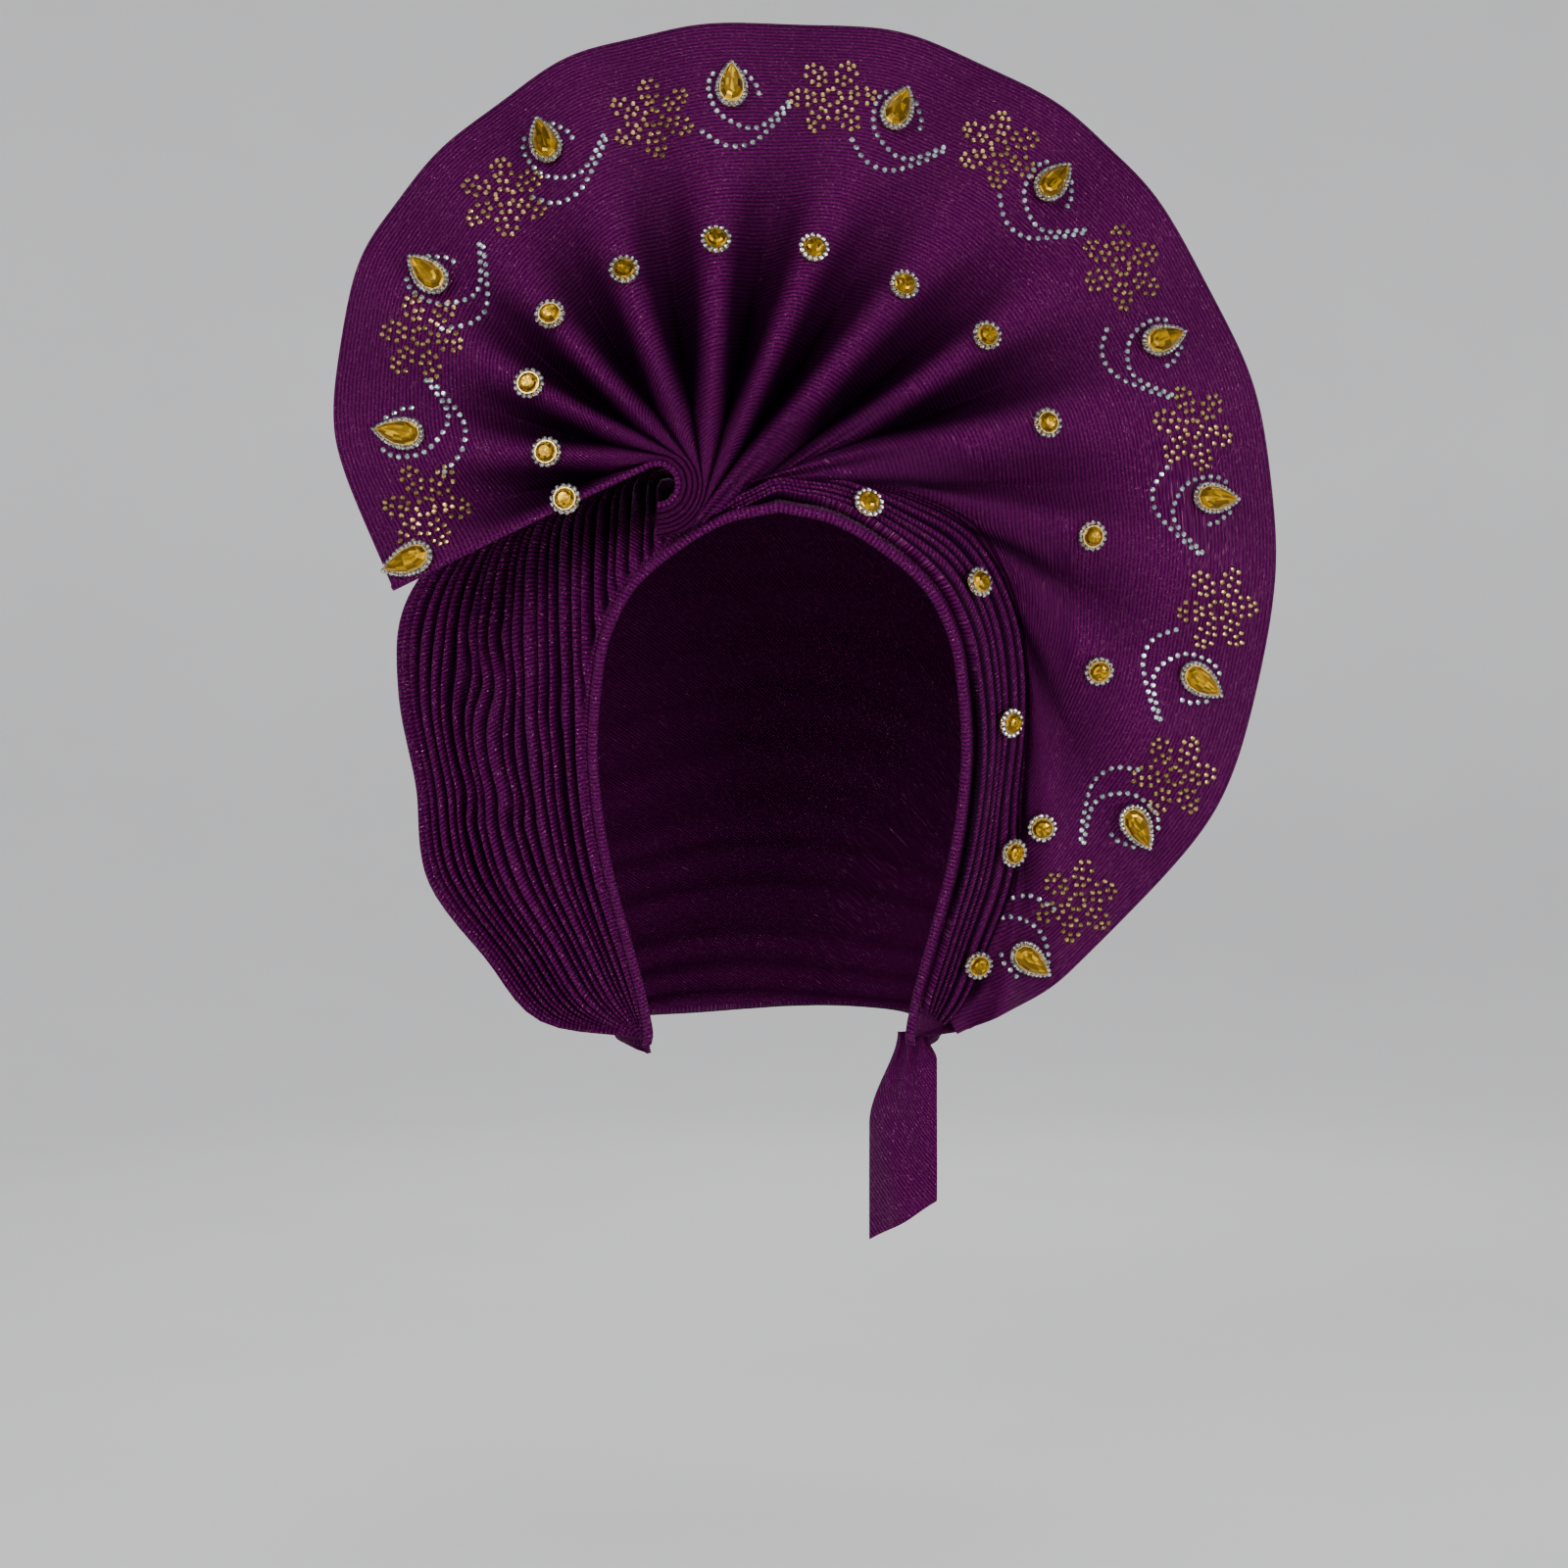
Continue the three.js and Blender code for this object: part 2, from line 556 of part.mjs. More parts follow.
function makeFan() {
  const front = [];
  const back = [];
  for (const out of FAN_ROWS) {
    const frontRow = [];
    const backRow = [];
    for (let c = 0; c <= FOLD_SAMPLES * FOLDS.length; c += 1) {
      const p = fanPoint(c / FOLD_SAMPLES, out);
      frontRow.push(p);
      backRow.push(new THREE.Vector3(p.x, p.y + FAN_WALL, p.z));
    }
    front.push(frontRow);
    back.push(backRow);
  }
  return { grid: front, geometry: slab(back, front) };
}

// How far inward a line of the tail lies: the cloth is gathered at the top, and its two edges spread to
// their full width within their own shares of its length.
function tailSpread(inward, down) {
  const within = inward < TAIL_KNOT_AT ? TAIL_OUTER_SPREAD : TAIL_INNER_SPREAD;
  return TAIL_KNOT_AT + (inward - TAIL_KNOT_AT) * lerp(TAIL_KNOT, 1, ease(down / within));
}

// The tie's free end, which hangs just under the right gather and is cut off at a slant.
function makeTail() {
  const behind = 0.4 * NAPE_GATHER;
  const seat = 0.75 * NAPE_GATHER;
  const top = Math.sqrt(NAPE_GATHER ** 2 - seat ** 2) - CROWN_HEIGHT - 0.1 * BACK_PLEAT_HEIGHT - 2 * CLEARANCE;
  const front = [];
  const back = [];
  for (let r = 0; r <= TAIL_STEPS; r += 1) {
    const frontRow = [];
    const backRow = [];
    for (let c = 0; c <= 4; c += 1) {
      const down = r / TAIL_STEPS;
      const inward = tailSpread(c / 4, down);
      const x = NAPE_HALF_WIDTH + NAPE_GATHER - TAIL_WIDTH * inward * Math.cos(radians(TAIL_TURN));
      const y = NAPE_SET_BACK + behind + TAIL_WIDTH * inward ** 2 * Math.sin(radians(TAIL_TURN))
        + TAIL_RIPPLE * down * Math.sin(2 * Math.PI * (1.5 * inward + down));
      const z = top - down * (TAIL_LENGTH + TAIL_SLANT * inward);
      frontRow.push(new THREE.Vector3(x, y - CLOTH / 2, z));
      backRow.push(new THREE.Vector3(x, y + CLOTH / 2, z));
    }
    front.push(frontRow);
    back.push(backRow);
  }
  return slab(back, front);
}

// A brooch is one solid: a setting with a rim for its ring of beads, and a faceted stone with a table.
// Its outline is a circle or a teardrop whose point lies along +Y.
function makeBrooch(length, width, pointed) {
  const ring = (inset, height) => {
    const points = [];
    for (let i = 0; i < BROOCH_SIDES; i += 1) {
      const angle = 2 * Math.PI * i / BROOCH_SIDES;
      const narrow = pointed ? 1.22 * Math.sin(angle / 2) ** 0.8 : 1;
      points.push(new THREE.Vector3(
        (width / 2 - inset) * narrow * Math.sin(angle),
        (length / 2 - inset) * Math.cos(angle),
        height,
      ));
    }
    return points;
  };
  const tableInset = BEAD_RING + 0.22 * width;
  return loft([
    ring(0.4, 0),
    ring(0, SETTING_HEIGHT),
    ring(BEAD_RING, SETTING_HEIGHT + 0.3),
    ring(tableInset, BROOCH_HEIGHT),
  ]);
}

const FACET_TESTS = 12;

// How far the cloth's flat facets rise above a tangent plane within a brooch's footprint.
function highestUnder(grid, place, length, width) {
  const local = place.clone().invert();
  let highest = 0;
  const test = (p) => {
    const q = p.clone().applyMatrix4(local);
    if (Math.hypot(2 * q.x / width, 2 * q.y / length) < 1 && Math.abs(q.z) < length) {
      highest = Math.max(highest, q.z);
    }
  };
  for (let r = 0; r < grid.length - 1; r += 1) {
    for (let c = 0; c < grid[0].length - 1; c += 1) {
      const [a, b, d, e] = [grid[r][c], grid[r][c + 1], grid[r + 1][c + 1], grid[r + 1][c]];
      const centre = new THREE.Vector3().setFromMatrixPosition(place);
      if (centre.distanceTo(a) < 3 * length) {
        for (const corner of [b, e]) {
          for (let i = 0; i <= FACET_TESTS; i += 1) {
            for (let j = 0; j <= FACET_TESTS - i; j += 1) {
              const u = i / FACET_TESTS;
              const v = j / FACET_TESTS;
              test(new THREE.Vector3()
                .addScaledVector(a, 1 - u - v)
                .addScaledVector(d, u)
                .addScaledVector(corner, v));
            }
          }
        }
      }
    }
  }
  return highest;
}

function placeBrooch(name, geometry, grid, at, toRim, aside, turn, length, width) {
  const normal = new THREE.Vector3().crossVectors(aside, toRim).normalize();
  if (normal.y > 0) {
    normal.negate();
  }
  const up = toRim.clone().normalize().applyAxisAngle(normal, radians(turn));
  const right = new THREE.Vector3().crossVectors(up, normal).normalize();
  const place = new THREE.Matrix4().makeBasis(right, up, normal).setPosition(at);
  const lift = highestUnder(grid, place, length, width) + CLEARANCE;
  const mesh = addPiece(name, geometry, BROOCH_LOOK);
  mesh.applyMatrix4(place.setPosition(at.clone().addScaledVector(normal, lift)));
}

function placeOnFan(name, geometry, row, length, width) {
  const at = fanPoint(row.ridge, row.out);
  const toRim = crestPoint(row.ridge, row.out + 0.04).sub(crestPoint(row.ridge, row.out - 0.04));
  const aside = crestPoint(row.ridge + 0.2, row.out).sub(crestPoint(row.ridge - 0.2, row.out));
  placeBrooch(name, geometry, fan.grid, at, toRim, aside, row.turn, length, width);
}

function placeOnStack(name, geometry, row, diameter) {
  const lift = CLOTH + STACK_PLEAT_HEIGHT;
  const at = stackPoint(row.over, row.side, lift);
  const toRim = stackPoint(row.over, row.side + 0.02, lift).sub(stackPoint(row.over, row.side - 0.02, lift));
  const aside = stackPoint(row.over + 0.2, row.side, lift).sub(stackPoint(row.over - 0.2, row.side, lift));
  placeBrooch(name, geometry, stack.grid, at, toRim, aside, 0, diameter, diameter);
}

function numbered(stem, count) {
  return `${stem}_${String(count + 1).padStart(2, '0')}`;
}

const stack = makeStack();
const fan = makeFan();
addPiece('pleated_cap', makeCap(), CLOTH_LOOK);
addPiece('side_pleats', stack.geometry, CLOTH_LOOK);
addPiece('face_band', makeBand(), CLOTH_LOOK);
addPiece('fan', fan.geometry, CLOTH_LOOK);

addPiece('tie_tail', makeTail(), CLOTH_LOOK);
const teardrop = makeBrooch(TEARDROP_LENGTH, TEARDROP_WIDTH, true);
const round = makeBrooch(ROUND_DIAMETER, ROUND_DIAMETER, false);
FAN_TEARDROPS.forEach((row, i) => {
  placeOnFan(numbered('teardrop_brooch', i), teardrop, row, TEARDROP_LENGTH, TEARDROP_WIDTH);
});
FAN_ROUNDS.forEach((row, i) => {
  placeOnFan(numbered('round_brooch', i), round, row, ROUND_DIAMETER, ROUND_DIAMETER);
});
STACK_ROUNDS.forEach((row, i) => {
  placeOnStack(numbered('round_brooch', FAN_ROUNDS.length + i), round, row, ROUND_DIAMETER);
});

export default gele;
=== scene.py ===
"""The finished look of a tied gele head tie: cap, stack of pleats, fan, face band, tail and stones."""

import math

import bpy
import numpy as np
from bpy.props import FloatProperty, FloatVectorProperty, IntProperty, PointerProperty
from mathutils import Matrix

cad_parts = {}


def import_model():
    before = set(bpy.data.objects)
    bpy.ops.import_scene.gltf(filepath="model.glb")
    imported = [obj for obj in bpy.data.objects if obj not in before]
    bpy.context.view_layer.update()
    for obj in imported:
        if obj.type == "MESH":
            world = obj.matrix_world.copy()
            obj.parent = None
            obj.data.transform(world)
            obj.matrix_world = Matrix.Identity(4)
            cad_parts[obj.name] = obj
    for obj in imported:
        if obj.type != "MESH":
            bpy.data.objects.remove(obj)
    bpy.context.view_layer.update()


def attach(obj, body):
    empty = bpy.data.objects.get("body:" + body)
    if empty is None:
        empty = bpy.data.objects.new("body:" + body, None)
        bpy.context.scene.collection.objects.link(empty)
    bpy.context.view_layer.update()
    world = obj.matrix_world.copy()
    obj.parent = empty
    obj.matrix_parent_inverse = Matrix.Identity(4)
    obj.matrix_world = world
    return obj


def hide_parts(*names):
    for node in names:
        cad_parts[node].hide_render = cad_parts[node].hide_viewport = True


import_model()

bl_info = {
    "name": "Gele head tie",
    "version": (1, 0, 0),
    "blender": (4, 5, 0),
    "location": "3D View > Sidebar > Gele",
    "description": "Builds a tied gele head tie with its pleats, fan and stone brooches",
    "category": "Add Mesh",
}

MM = 0.001


def table(names, *lines):
    """The named columns of a table that is written line by line."""
    return {name: np.array(column, float) for name, column in zip(names.split(), zip(*lines))}


# Hoops of the cap from the face edge over the crown to the nape hem. The tilt is in degrees from upright,
# backwards positive. The reach is a share of the cap's reach, the half widths are shares of its half
# width, and fullness blends the face hoop's outline into the full one.
HOOPS = table(
    "across tilt reach left right fullness",
    (0.00, -26.2, 0.944, 0.49, 0.49, 0.00),
    (0.16, -19.0, 0.965, 0.66, 0.56, 0.35),
    (0.30, -12.0, 0.985, 0.82, 0.64, 0.70),
    (0.53, -3.0, 1.000, 1.00, 0.73, 1.00),
    (0.62, 12.0, 0.945, 0.95, 0.75, 1.00),
    (0.72, 27.0, 0.800, 0.86, 0.72, 0.80),
    (0.82, 44.0, 0.590, 0.72, 0.64, 0.50),
    (0.92, 60.0, 0.410, 0.56, 0.53, 0.30),
    (1.00, 75.0, 0.260, 0.42, 0.42, 0.20),
)
WIDEST = 0.53

# Outline of half a hoop, from a nape gather to the apex. hold is a share of the nape's half width, the
# spreads are shares of the hoop's half width and the rises of its reach.
HOOP_OUTLINE = table(
    "along hold face_spread face_rise full_spread full_rise",
    (0.00, 1.00, 0.000, 0.000, 0.000, 0.000),
    (0.10, 0.75, 0.236, 0.100, 0.363, 0.030),
    (0.20, 0.45, 0.533, 0.215, 0.615, 0.135),
    (0.30, 0.20, 0.794, 0.335, 0.860, 0.268),
    (0.40, 0.00, 0.986, 0.450, 0.960, 0.416),
    (0.50, 0.00, 1.000, 0.570, 1.005, 0.565),
    (0.60, 0.00, 0.965, 0.690, 1.000, 0.690),
    (0.67, 0.00, 0.915, 0.770, 0.920, 0.775),
    (0.75, 0.00, 0.785, 0.855, 0.770, 0.860),
    (0.83, 0.00, 0.575, 0.921, 0.550, 0.925),
    (0.92, 0.00, 0.290, 0.978, 0.280, 0.980),
    (1.00, 0.00, 0.000, 1.000, 0.000, 1.000),
)

# Kinks of the cap's pleats: where they are, how far they push the pleats aside, in pleats, and how wide
# and long they are, in the cap's shares
CAP_KINKS = table(
    "across side shift width length",
    (0.24, -0.43, -1.1, 0.07, 0.050),
    (0.32, -0.62, 0.6, 0.06, 0.030),
    (0.20, -0.62, 0.6, 0.04, 0.030),
    (0.10, -0.50, -0.5, 0.05, 0.050),
    (0.16, 0.60, 0.9, 0.08, 0.060),
)

# Outer line of the stack on the cap: side from the throat over the apex (0) to the right gather (1),
# across is the cap's own share and rise a share of the stack's rise.
STACK_LINE = table(
    "side across rise",
    (-0.06, 0.012, 0.60),
    (0.04, 0.030, 0.50),
    (0.14, 0.110, 0.40),
    (0.24, 0.205, 0.30),
    (0.36, 0.235, 0.20),
    (0.50, 0.260, 0.15),
    (0.70, 0.290, 0.15),
    (0.84, 0.290, 0.15),
    (0.93, 0.260, 0.15),
)
STACK_START = -0.07
# How far the round brooches of the stack lean from its surface to the front
STACK_ROUND_TILT = 0.45
# Pleats of the stack at the throat, where it is narrow, and the depth of all as a share of their height
STACK_FIRST_PLEATS = 4
STACK_VALLEY = 0.55
# Share over the stack at which it starts beside the band, height of its lowest part in cloths, the span of
# its thin end, and how deep the top and the underside sink there
STACK_INNER_EDGE = 0.03
STACK_BASE = 0.6
STACK_END_SPAN = 0.08
STACK_END_SINK = 2 * MM
STACK_UNDER_SINK = 2.4 * MM

# Ridges of the fan, from the hem at the left to the hem at the nape. A ridge that starts at the eye has a
# lane, in wrap pitches, and a start angle, in degrees round the eye. One that starts at the stack has
# at_stack 1 and a side share there. The rim is at an angle and a share of the fan's radius from the disc's
# centre or, with from_root 1, from the ridge's own start. bow is the sideways sag as a share of the
# ridge's length, and back is a share of the fan's sweep behind the neck.
RIDGES = table(
    "at_stack lane start side angle reach from_root bow back",
    (0, 0.0, -90, 0.00, 194.3, 0.871, 0, 0.00, 0.20),
    (0, 1.0, -90, 0.00, 173.3, 0.980, 0, 0.02, 0.31),
    (0, 2.1, -90, 0.00, 153.3, 1.041, 0, 0.04, 0.38),
    (0, 3.1, -90, 0.00, 137.1, 1.048, 0, 0.04, 0.45),
    (0, 4.0, -90, 0.00, 118.7, 1.050, 0, 0.02, 0.53),
    (0, 4.8, -90, 0.00, 101.4, 1.022, 0, -0.02, 0.58),
    (0, 5.7, -88, 0.00, 78.4, 1.015, 0, -0.01, 0.64),
    (0, 6.6, -45, 0.00, 57.5, 1.006, 0, -0.01, 0.67),
    (0, 8.1, -30, 0.00, 39.5, 0.998, 0, -0.02, 0.71),
    (1, 0.0, 0, -0.06, 14.0, 1.005, 0, 0.00, 0.75),
    (1, 0.0, 0, 0.16, -10.0, 1.037, 0, 0.01, 0.76),
    (1, 0.0, 0, 0.25, -36.0, 1.120, 0, 0.00, 0.82),
    (1, 0.0, 0, 0.43, -60.0, 1.186, 0, -0.01, 0.95),
    (1, 0.0, 0, 0.74, -92.0, 0.240, 1, 0.03, 0.96),
    (1, 0.0, 0, 0.92, -60.0, 0.035, 1, 0.00, 0.97),
)
FIRST_AT_STACK = 9
# Share of the way to the rim at which a ridge leaves its wrap round the eye
NECK_SHARE = 0.16
# The eye's centre from the cap's edge at the throat: aside in the face hoop's half width, up in the eye's
# radius, and behind the throat's rise
EYE_ASIDE = 0.6
EYE_UP = 0.8
EYE_BACK = 4 * MM
# From the eye to the centre of the fan's disc, in shares of the fan's radius
DISC_CENTRE = np.array([0.296, 0.0, 0.015])
# Depth at which ridges start in the eye, in the throat's rise, and sweep of a rim that has its own centre
START_DEPTH = 0.4
OWN_SWEEP = 0.02
# Share of a ridge's way back that it goes evenly. The rest grows with the square of its run
EVEN_SWEEP = 0.35
# Shares of the way to the rim over which the fan lets go of the stack, and its cords turn into waves
STACK_PULL = 0.3
CORD_FADE = 0.6

# Folds between one ridge and the next. depth is a share of the fan's fold depth, peak and fade are shares
# of the way from the neck to the rim.
FOLDS = table(
    "depth peak fade",
    (0.75, 0.30, 0.90),
    (0.70, 0.30, 0.70),
    (0.90, 0.30, 0.75),
    (0.80, 0.30, 0.70),
    (0.85, 0.30, 0.75),
    (1.00, 0.32, 0.75),
    (0.95, 0.30, 0.75),
    (0.90, 0.32, 0.75),
    (0.80, 0.30, 0.80),
    (0.65, 0.30, 0.75),
    (0.40, 0.25, 0.70),
    (0.30, 0.30, 0.80),
    (0.20, 0.30, 0.80),
    (0.05, 0.40, 0.90),
)

# Brooches and motifs on the fan: place between ridges, share of the way from start to rim, turn in degrees,
# and 1 where silver stones lie round a teardrop
TEARDROPS = table(
    "ridge out turn swirl",
    (0.16, 0.92, 0, 0),
    (1.05, 0.82, 0, 1),
    (2.32, 0.83, 0, 1),
    (3.70, 0.86, 0, 1),
    (5.12, 0.87, 0, 1),
    (6.18, 0.86, 0, 1),
    (7.36, 0.88, 0, 1),
    (8.64, 0.86, 0, 1),
    (9.60, 0.85, 0, 1),
    (10.60, 0.82, 0, 1),
    (11.38, 0.83, 0, 1),
    (12.52, 0.79, 47, 1),
)
FAN_ROUNDS = table(
    "ridge out",
    (0.10, 0.42),
    (1.00, 0.44),
    (2.00, 0.51),
    (3.00, 0.56),
    (4.00, 0.55),
    (5.00, 0.58),
    (6.00, 0.59),
    (7.00, 0.61),
    (8.00, 0.57),
    (9.00, 0.58),
    (10.00, 0.48),
    (11.00, 0.50),
    (12.10, 0.48),
)
STACK_ROUNDS = table(
    "side over",
    (0.11, 0.25),
    (0.29, 0.42),
    (0.49, 0.50),
    (0.67, 0.80),
    (0.82, 0.84),
)
FLOWERS = table(
    "ridge out turn",
    (0.52, 0.81, 10),
    (1.84, 0.79, 40),
    (3.26, 0.82, 20),
    (4.54, 0.83, 0),
    (5.74, 0.86, 15),
    (6.90, 0.88, 30),
    (8.16, 0.86, 5),
    (9.18, 0.85, 20),
    (10.22, 0.84, 35),
    (11.08, 0.84, 10),
    (11.86, 0.83, 25),
)

# Lines of silver stones round a teardrop: millimetres outwards to the rim and clockwise along it
SWIRL_LINES = (
    (13, ((-19.4, -11.1), (-25.1, -3.0), (-24.0, 6.6), (-15.2, 15.9), (-7.4, 21.8))),
    (16, ((5.2, -7.0), (-0.7, -8.7), (-11.5, -5.0), (-17.2, 5.0), (-15.2, 12.6), (-5.6, 21.5))),
    (4, ((6.6, 5.1), (1.1, 9.4), (-2.2, 10.3))),
)

# The tail is gathered to a share of its width at its top, about a line at a share of the way inward, and
# its two edges reach their full spread within their own shares of its length
TAIL_KNOT = 0.42
TAIL_KNOT_AT = 0.28
TAIL_OUTER_SPREAD = 0.16
TAIL_INNER_SPREAD = 0.45
# How far its top reaches up beside the gather, the length that this adds, the height of its ripple, and the
# height and number of its gathered folds
TAIL_TUCK = 5 * MM
TAIL_EXTRA = 6 * MM
TAIL_RIPPLE = 1.5 * MM
TAIL_FOLD = 1.2 * MM
TAIL_FOLDS = 3

# Samples of the fine surfaces
FAN_SAMPLES_PER_FOLD = 30
FAN_ROWS = 112
# Share of evenness in the spacing of the fan's rows, which lie closer at the throat
FAN_ROW_EVENNESS = 0.55
# Fine pleats between two ridges where the fan leaves the throat and the stack. A pair is the start and the
# span of a smooth step, and four numbers are those of its rise and of its fall
FINE_PLEATS = 3
FINE_RIDGES = (6.6, 0.5, 8.9, 0.5)
FINE_OUT = (0.10, 0.36)
# Pleats that sweep from the throat along the stack, the share of the way to the rim that they reach, the
# share of it at their first ridge, and where along it they end
SWEEP_PLEATS = 5
SWEEP_REACH = 0.17
SWEEP_FIRST = 0.3
SWEEP_GROWTH = (8.6, 2.0)
SWEEP_RIDGES = (8.7, 0.5, 12.0, 0.9)
SWEEP_END = (0.75, 0.35)
CAP_SAMPLES_PER_PLEAT = 10
CAP_SAMPLES_PER_BACK_PLEAT = 6
CAP_ROWS = 144
# Where along the side the cap's rows lie closer, and by how much
CAP_DENSE_SIDES = (-0.75, 0.1, -0.10, 0.1)
CAP_DENSER = 1.4
# Where the cap's pleats stand upright beside the throat
UPRIGHT_SIDES = (-0.56, 0.18, -0.13, 0.1)
UPRIGHT_ACROSS = (0.20, 0.30)
# Pleats that come out from under the band above the widest place of the face edge, and the share across
# of the strip in which they hide
CAP_EXTRA_PLEATS = 9
CAP_STRIP = 0.004
# The cap's pleats: how they swell from the gathers, where they are flat, and turn wide behind the widest
# hoop, come up from the face edge, and start past the stack's outer line
CAP_GATHER_SPAN = 0.3
CAP_GATHERED = 0.15
CAP_BACK_SPAN = 0.1
CAP_BACK_SHARE = 0.5
CAP_EDGE_SPAN = 0.012
CAP_COVER = (0.05, 0.1)
# Their uneven width: size in pleats, radians a pleat and start in radians of two sines, and a drift's size
CAP_UNEVEN = ((0.12, 2.1, 0), (0.08, 4.7, 1))
CAP_DRIFT = 0.12
# Share across by which the cap's directions are felt
PROBE = 0.004
# Painted shade over a pleat: its height where the painted dark ends, the span over which it fades, and how
# dark the painted shade in a valley gets
CAP_PAINTED_SHADE = (0.16, 0.66)
STACK_PAINTED_SHADE = (0.22, 0.68)
VALLEY_PAINTED_SHADE = 0.97
# Painted lightness of the cap's inside: an even painted shade, without painted valleys between its pleats
CAP_INSIDE_PAINTED_LIGHT = 0.8
# Painted shade in the fan's folds: its darkest, how fast it comes with the fold's depth, how much of it goes
# towards the rim and beside the stack, and the painted shade between its cords and in its fine pleats
FAN_PAINTED_SHADE = 0.96
FOLD_PAINTED_SHADE = 2.6
RIM_PAINTED_SHADE_LOSS = 0.78
RIM_PAINTED_SHADE_LOSS_OUT = (0.36, 0.5)
STACK_PAINTED_SHADE_LOSS = 0.6
STACK_PAINTED_SHADE_LOSS_RIDGE = (8.6, 0.8)
CORD_PAINTED_SHADE = 0.9
CORD_PAINTED_SHADE_DEPTH = (0.45, 0.5)
CORD_PAINTED_SHADE_OUT = (0.2, 0.3)
STACK_SAMPLES_PER_PLEAT = 16
STACK_ROWS = 200
BAND_ROWS = 220
BAND_SIDES = 20
HEM_SIDES = 12
HEM_GIRTH = 7.5 * MM
TAIL_ROWS = 80
TAIL_COLUMNS = 49

# Beads round a teardrop and round a round stone, and the gap under a brooch
TEARDROP_BEADS = 26
ROUND_BEADS = 14
BROOCH_GAP = 0.1 * MM
# Flowers of small stones in millimetres: a ring at the heart, petals as loops round it, two stones inside
# each petal, and how far a stone may lie from its place
HEART_RADIUS = 3.4
PETALS = 6
LOOP_STONES = 8
PETAL_AT = 11.4
PETAL_HALF_LENGTH = 4.9
PETAL_HALF_WIDTH = 3.5
PETAL_INSIDE = (9.9, 13.2)
ASTRAY = 0.45

# Metallic share, roughness, and darkest and brightest painted facet reflection of each kind of stone
AMBER_CUT = (0.85, 0.28, 0.40, 2.3)
BEAD_CUT = (0.8, 0.10, 0.16, 1.38)
GOLD_STONE_CUT = (0.85, 0.16, 0.35, 1.38)
SILVER_STONE_CUT = (0.75, 0.12, 0.40, 1.38)
# Near-black plum of the painted shade in the cloth's pleat valleys and folds, and how fine its wobble, its
# uneven tone and its glitter are
PAINTED_SHADE_COLOUR = (0.004, 0.0004, 0.005)
WOBBLE_SCALE = 90.0
SHADE_SCALE = 900.0
GLITTER_SCALE = 2500.0
# Share of glitter cells that stay dark, size of a spot in its cell and strength of its colour
GLITTER_RARE = 0.78
GLITTER_SPOT = 0.36
GLITTER_STRENGTH = 0.6

# The stage in metres: fillet between floor and wall, floor and top heights, distance of the wall
FILLET = 0.7
FLOOR = -0.46
WALL = 2.3
WALL_TOP = 1.9
STAGE_SIDES = 96
# Square soft lights: place and side in metres, power in watts. All aim at one point
LIGHTS = (
    ("key", (-0.9, -1.6, 0.75), 1.0, 14.0),
    ("fill", (1.25, -1.45, -0.15), 1.0, 18.0),
    ("top", (0.1, -0.3, 1.5), 0.9, 3.0),
    ("back", (0.3, 1.5, 1.0), 1.0, 10.0),
)
LIGHT_AIM = np.array([0.0, 0.0, -0.08])
LIGHT_SPREAD = math.radians(150)
# The camera: place in metres, sensor in millimetres, focal length and width of the picture in its pixels
CAMERA_PLACE = (0.002, -1.1, -0.1395)
SENSOR = 36.0
FOCAL_PIXELS = 2842
PICTURE_PIXELS = 1600


def distance(name, description, default):
    """A length property of the sidebar panel, in metres."""
    return FloatProperty(name=name, description=description, default=default, unit="LENGTH", precision=4)


def colour(name, description, default):
    """A colour property of the sidebar panel."""
    return FloatVectorProperty(
        name=name, description=description, default=default, subtype="COLOR", size=3, min=0.0, max=1.0
    )


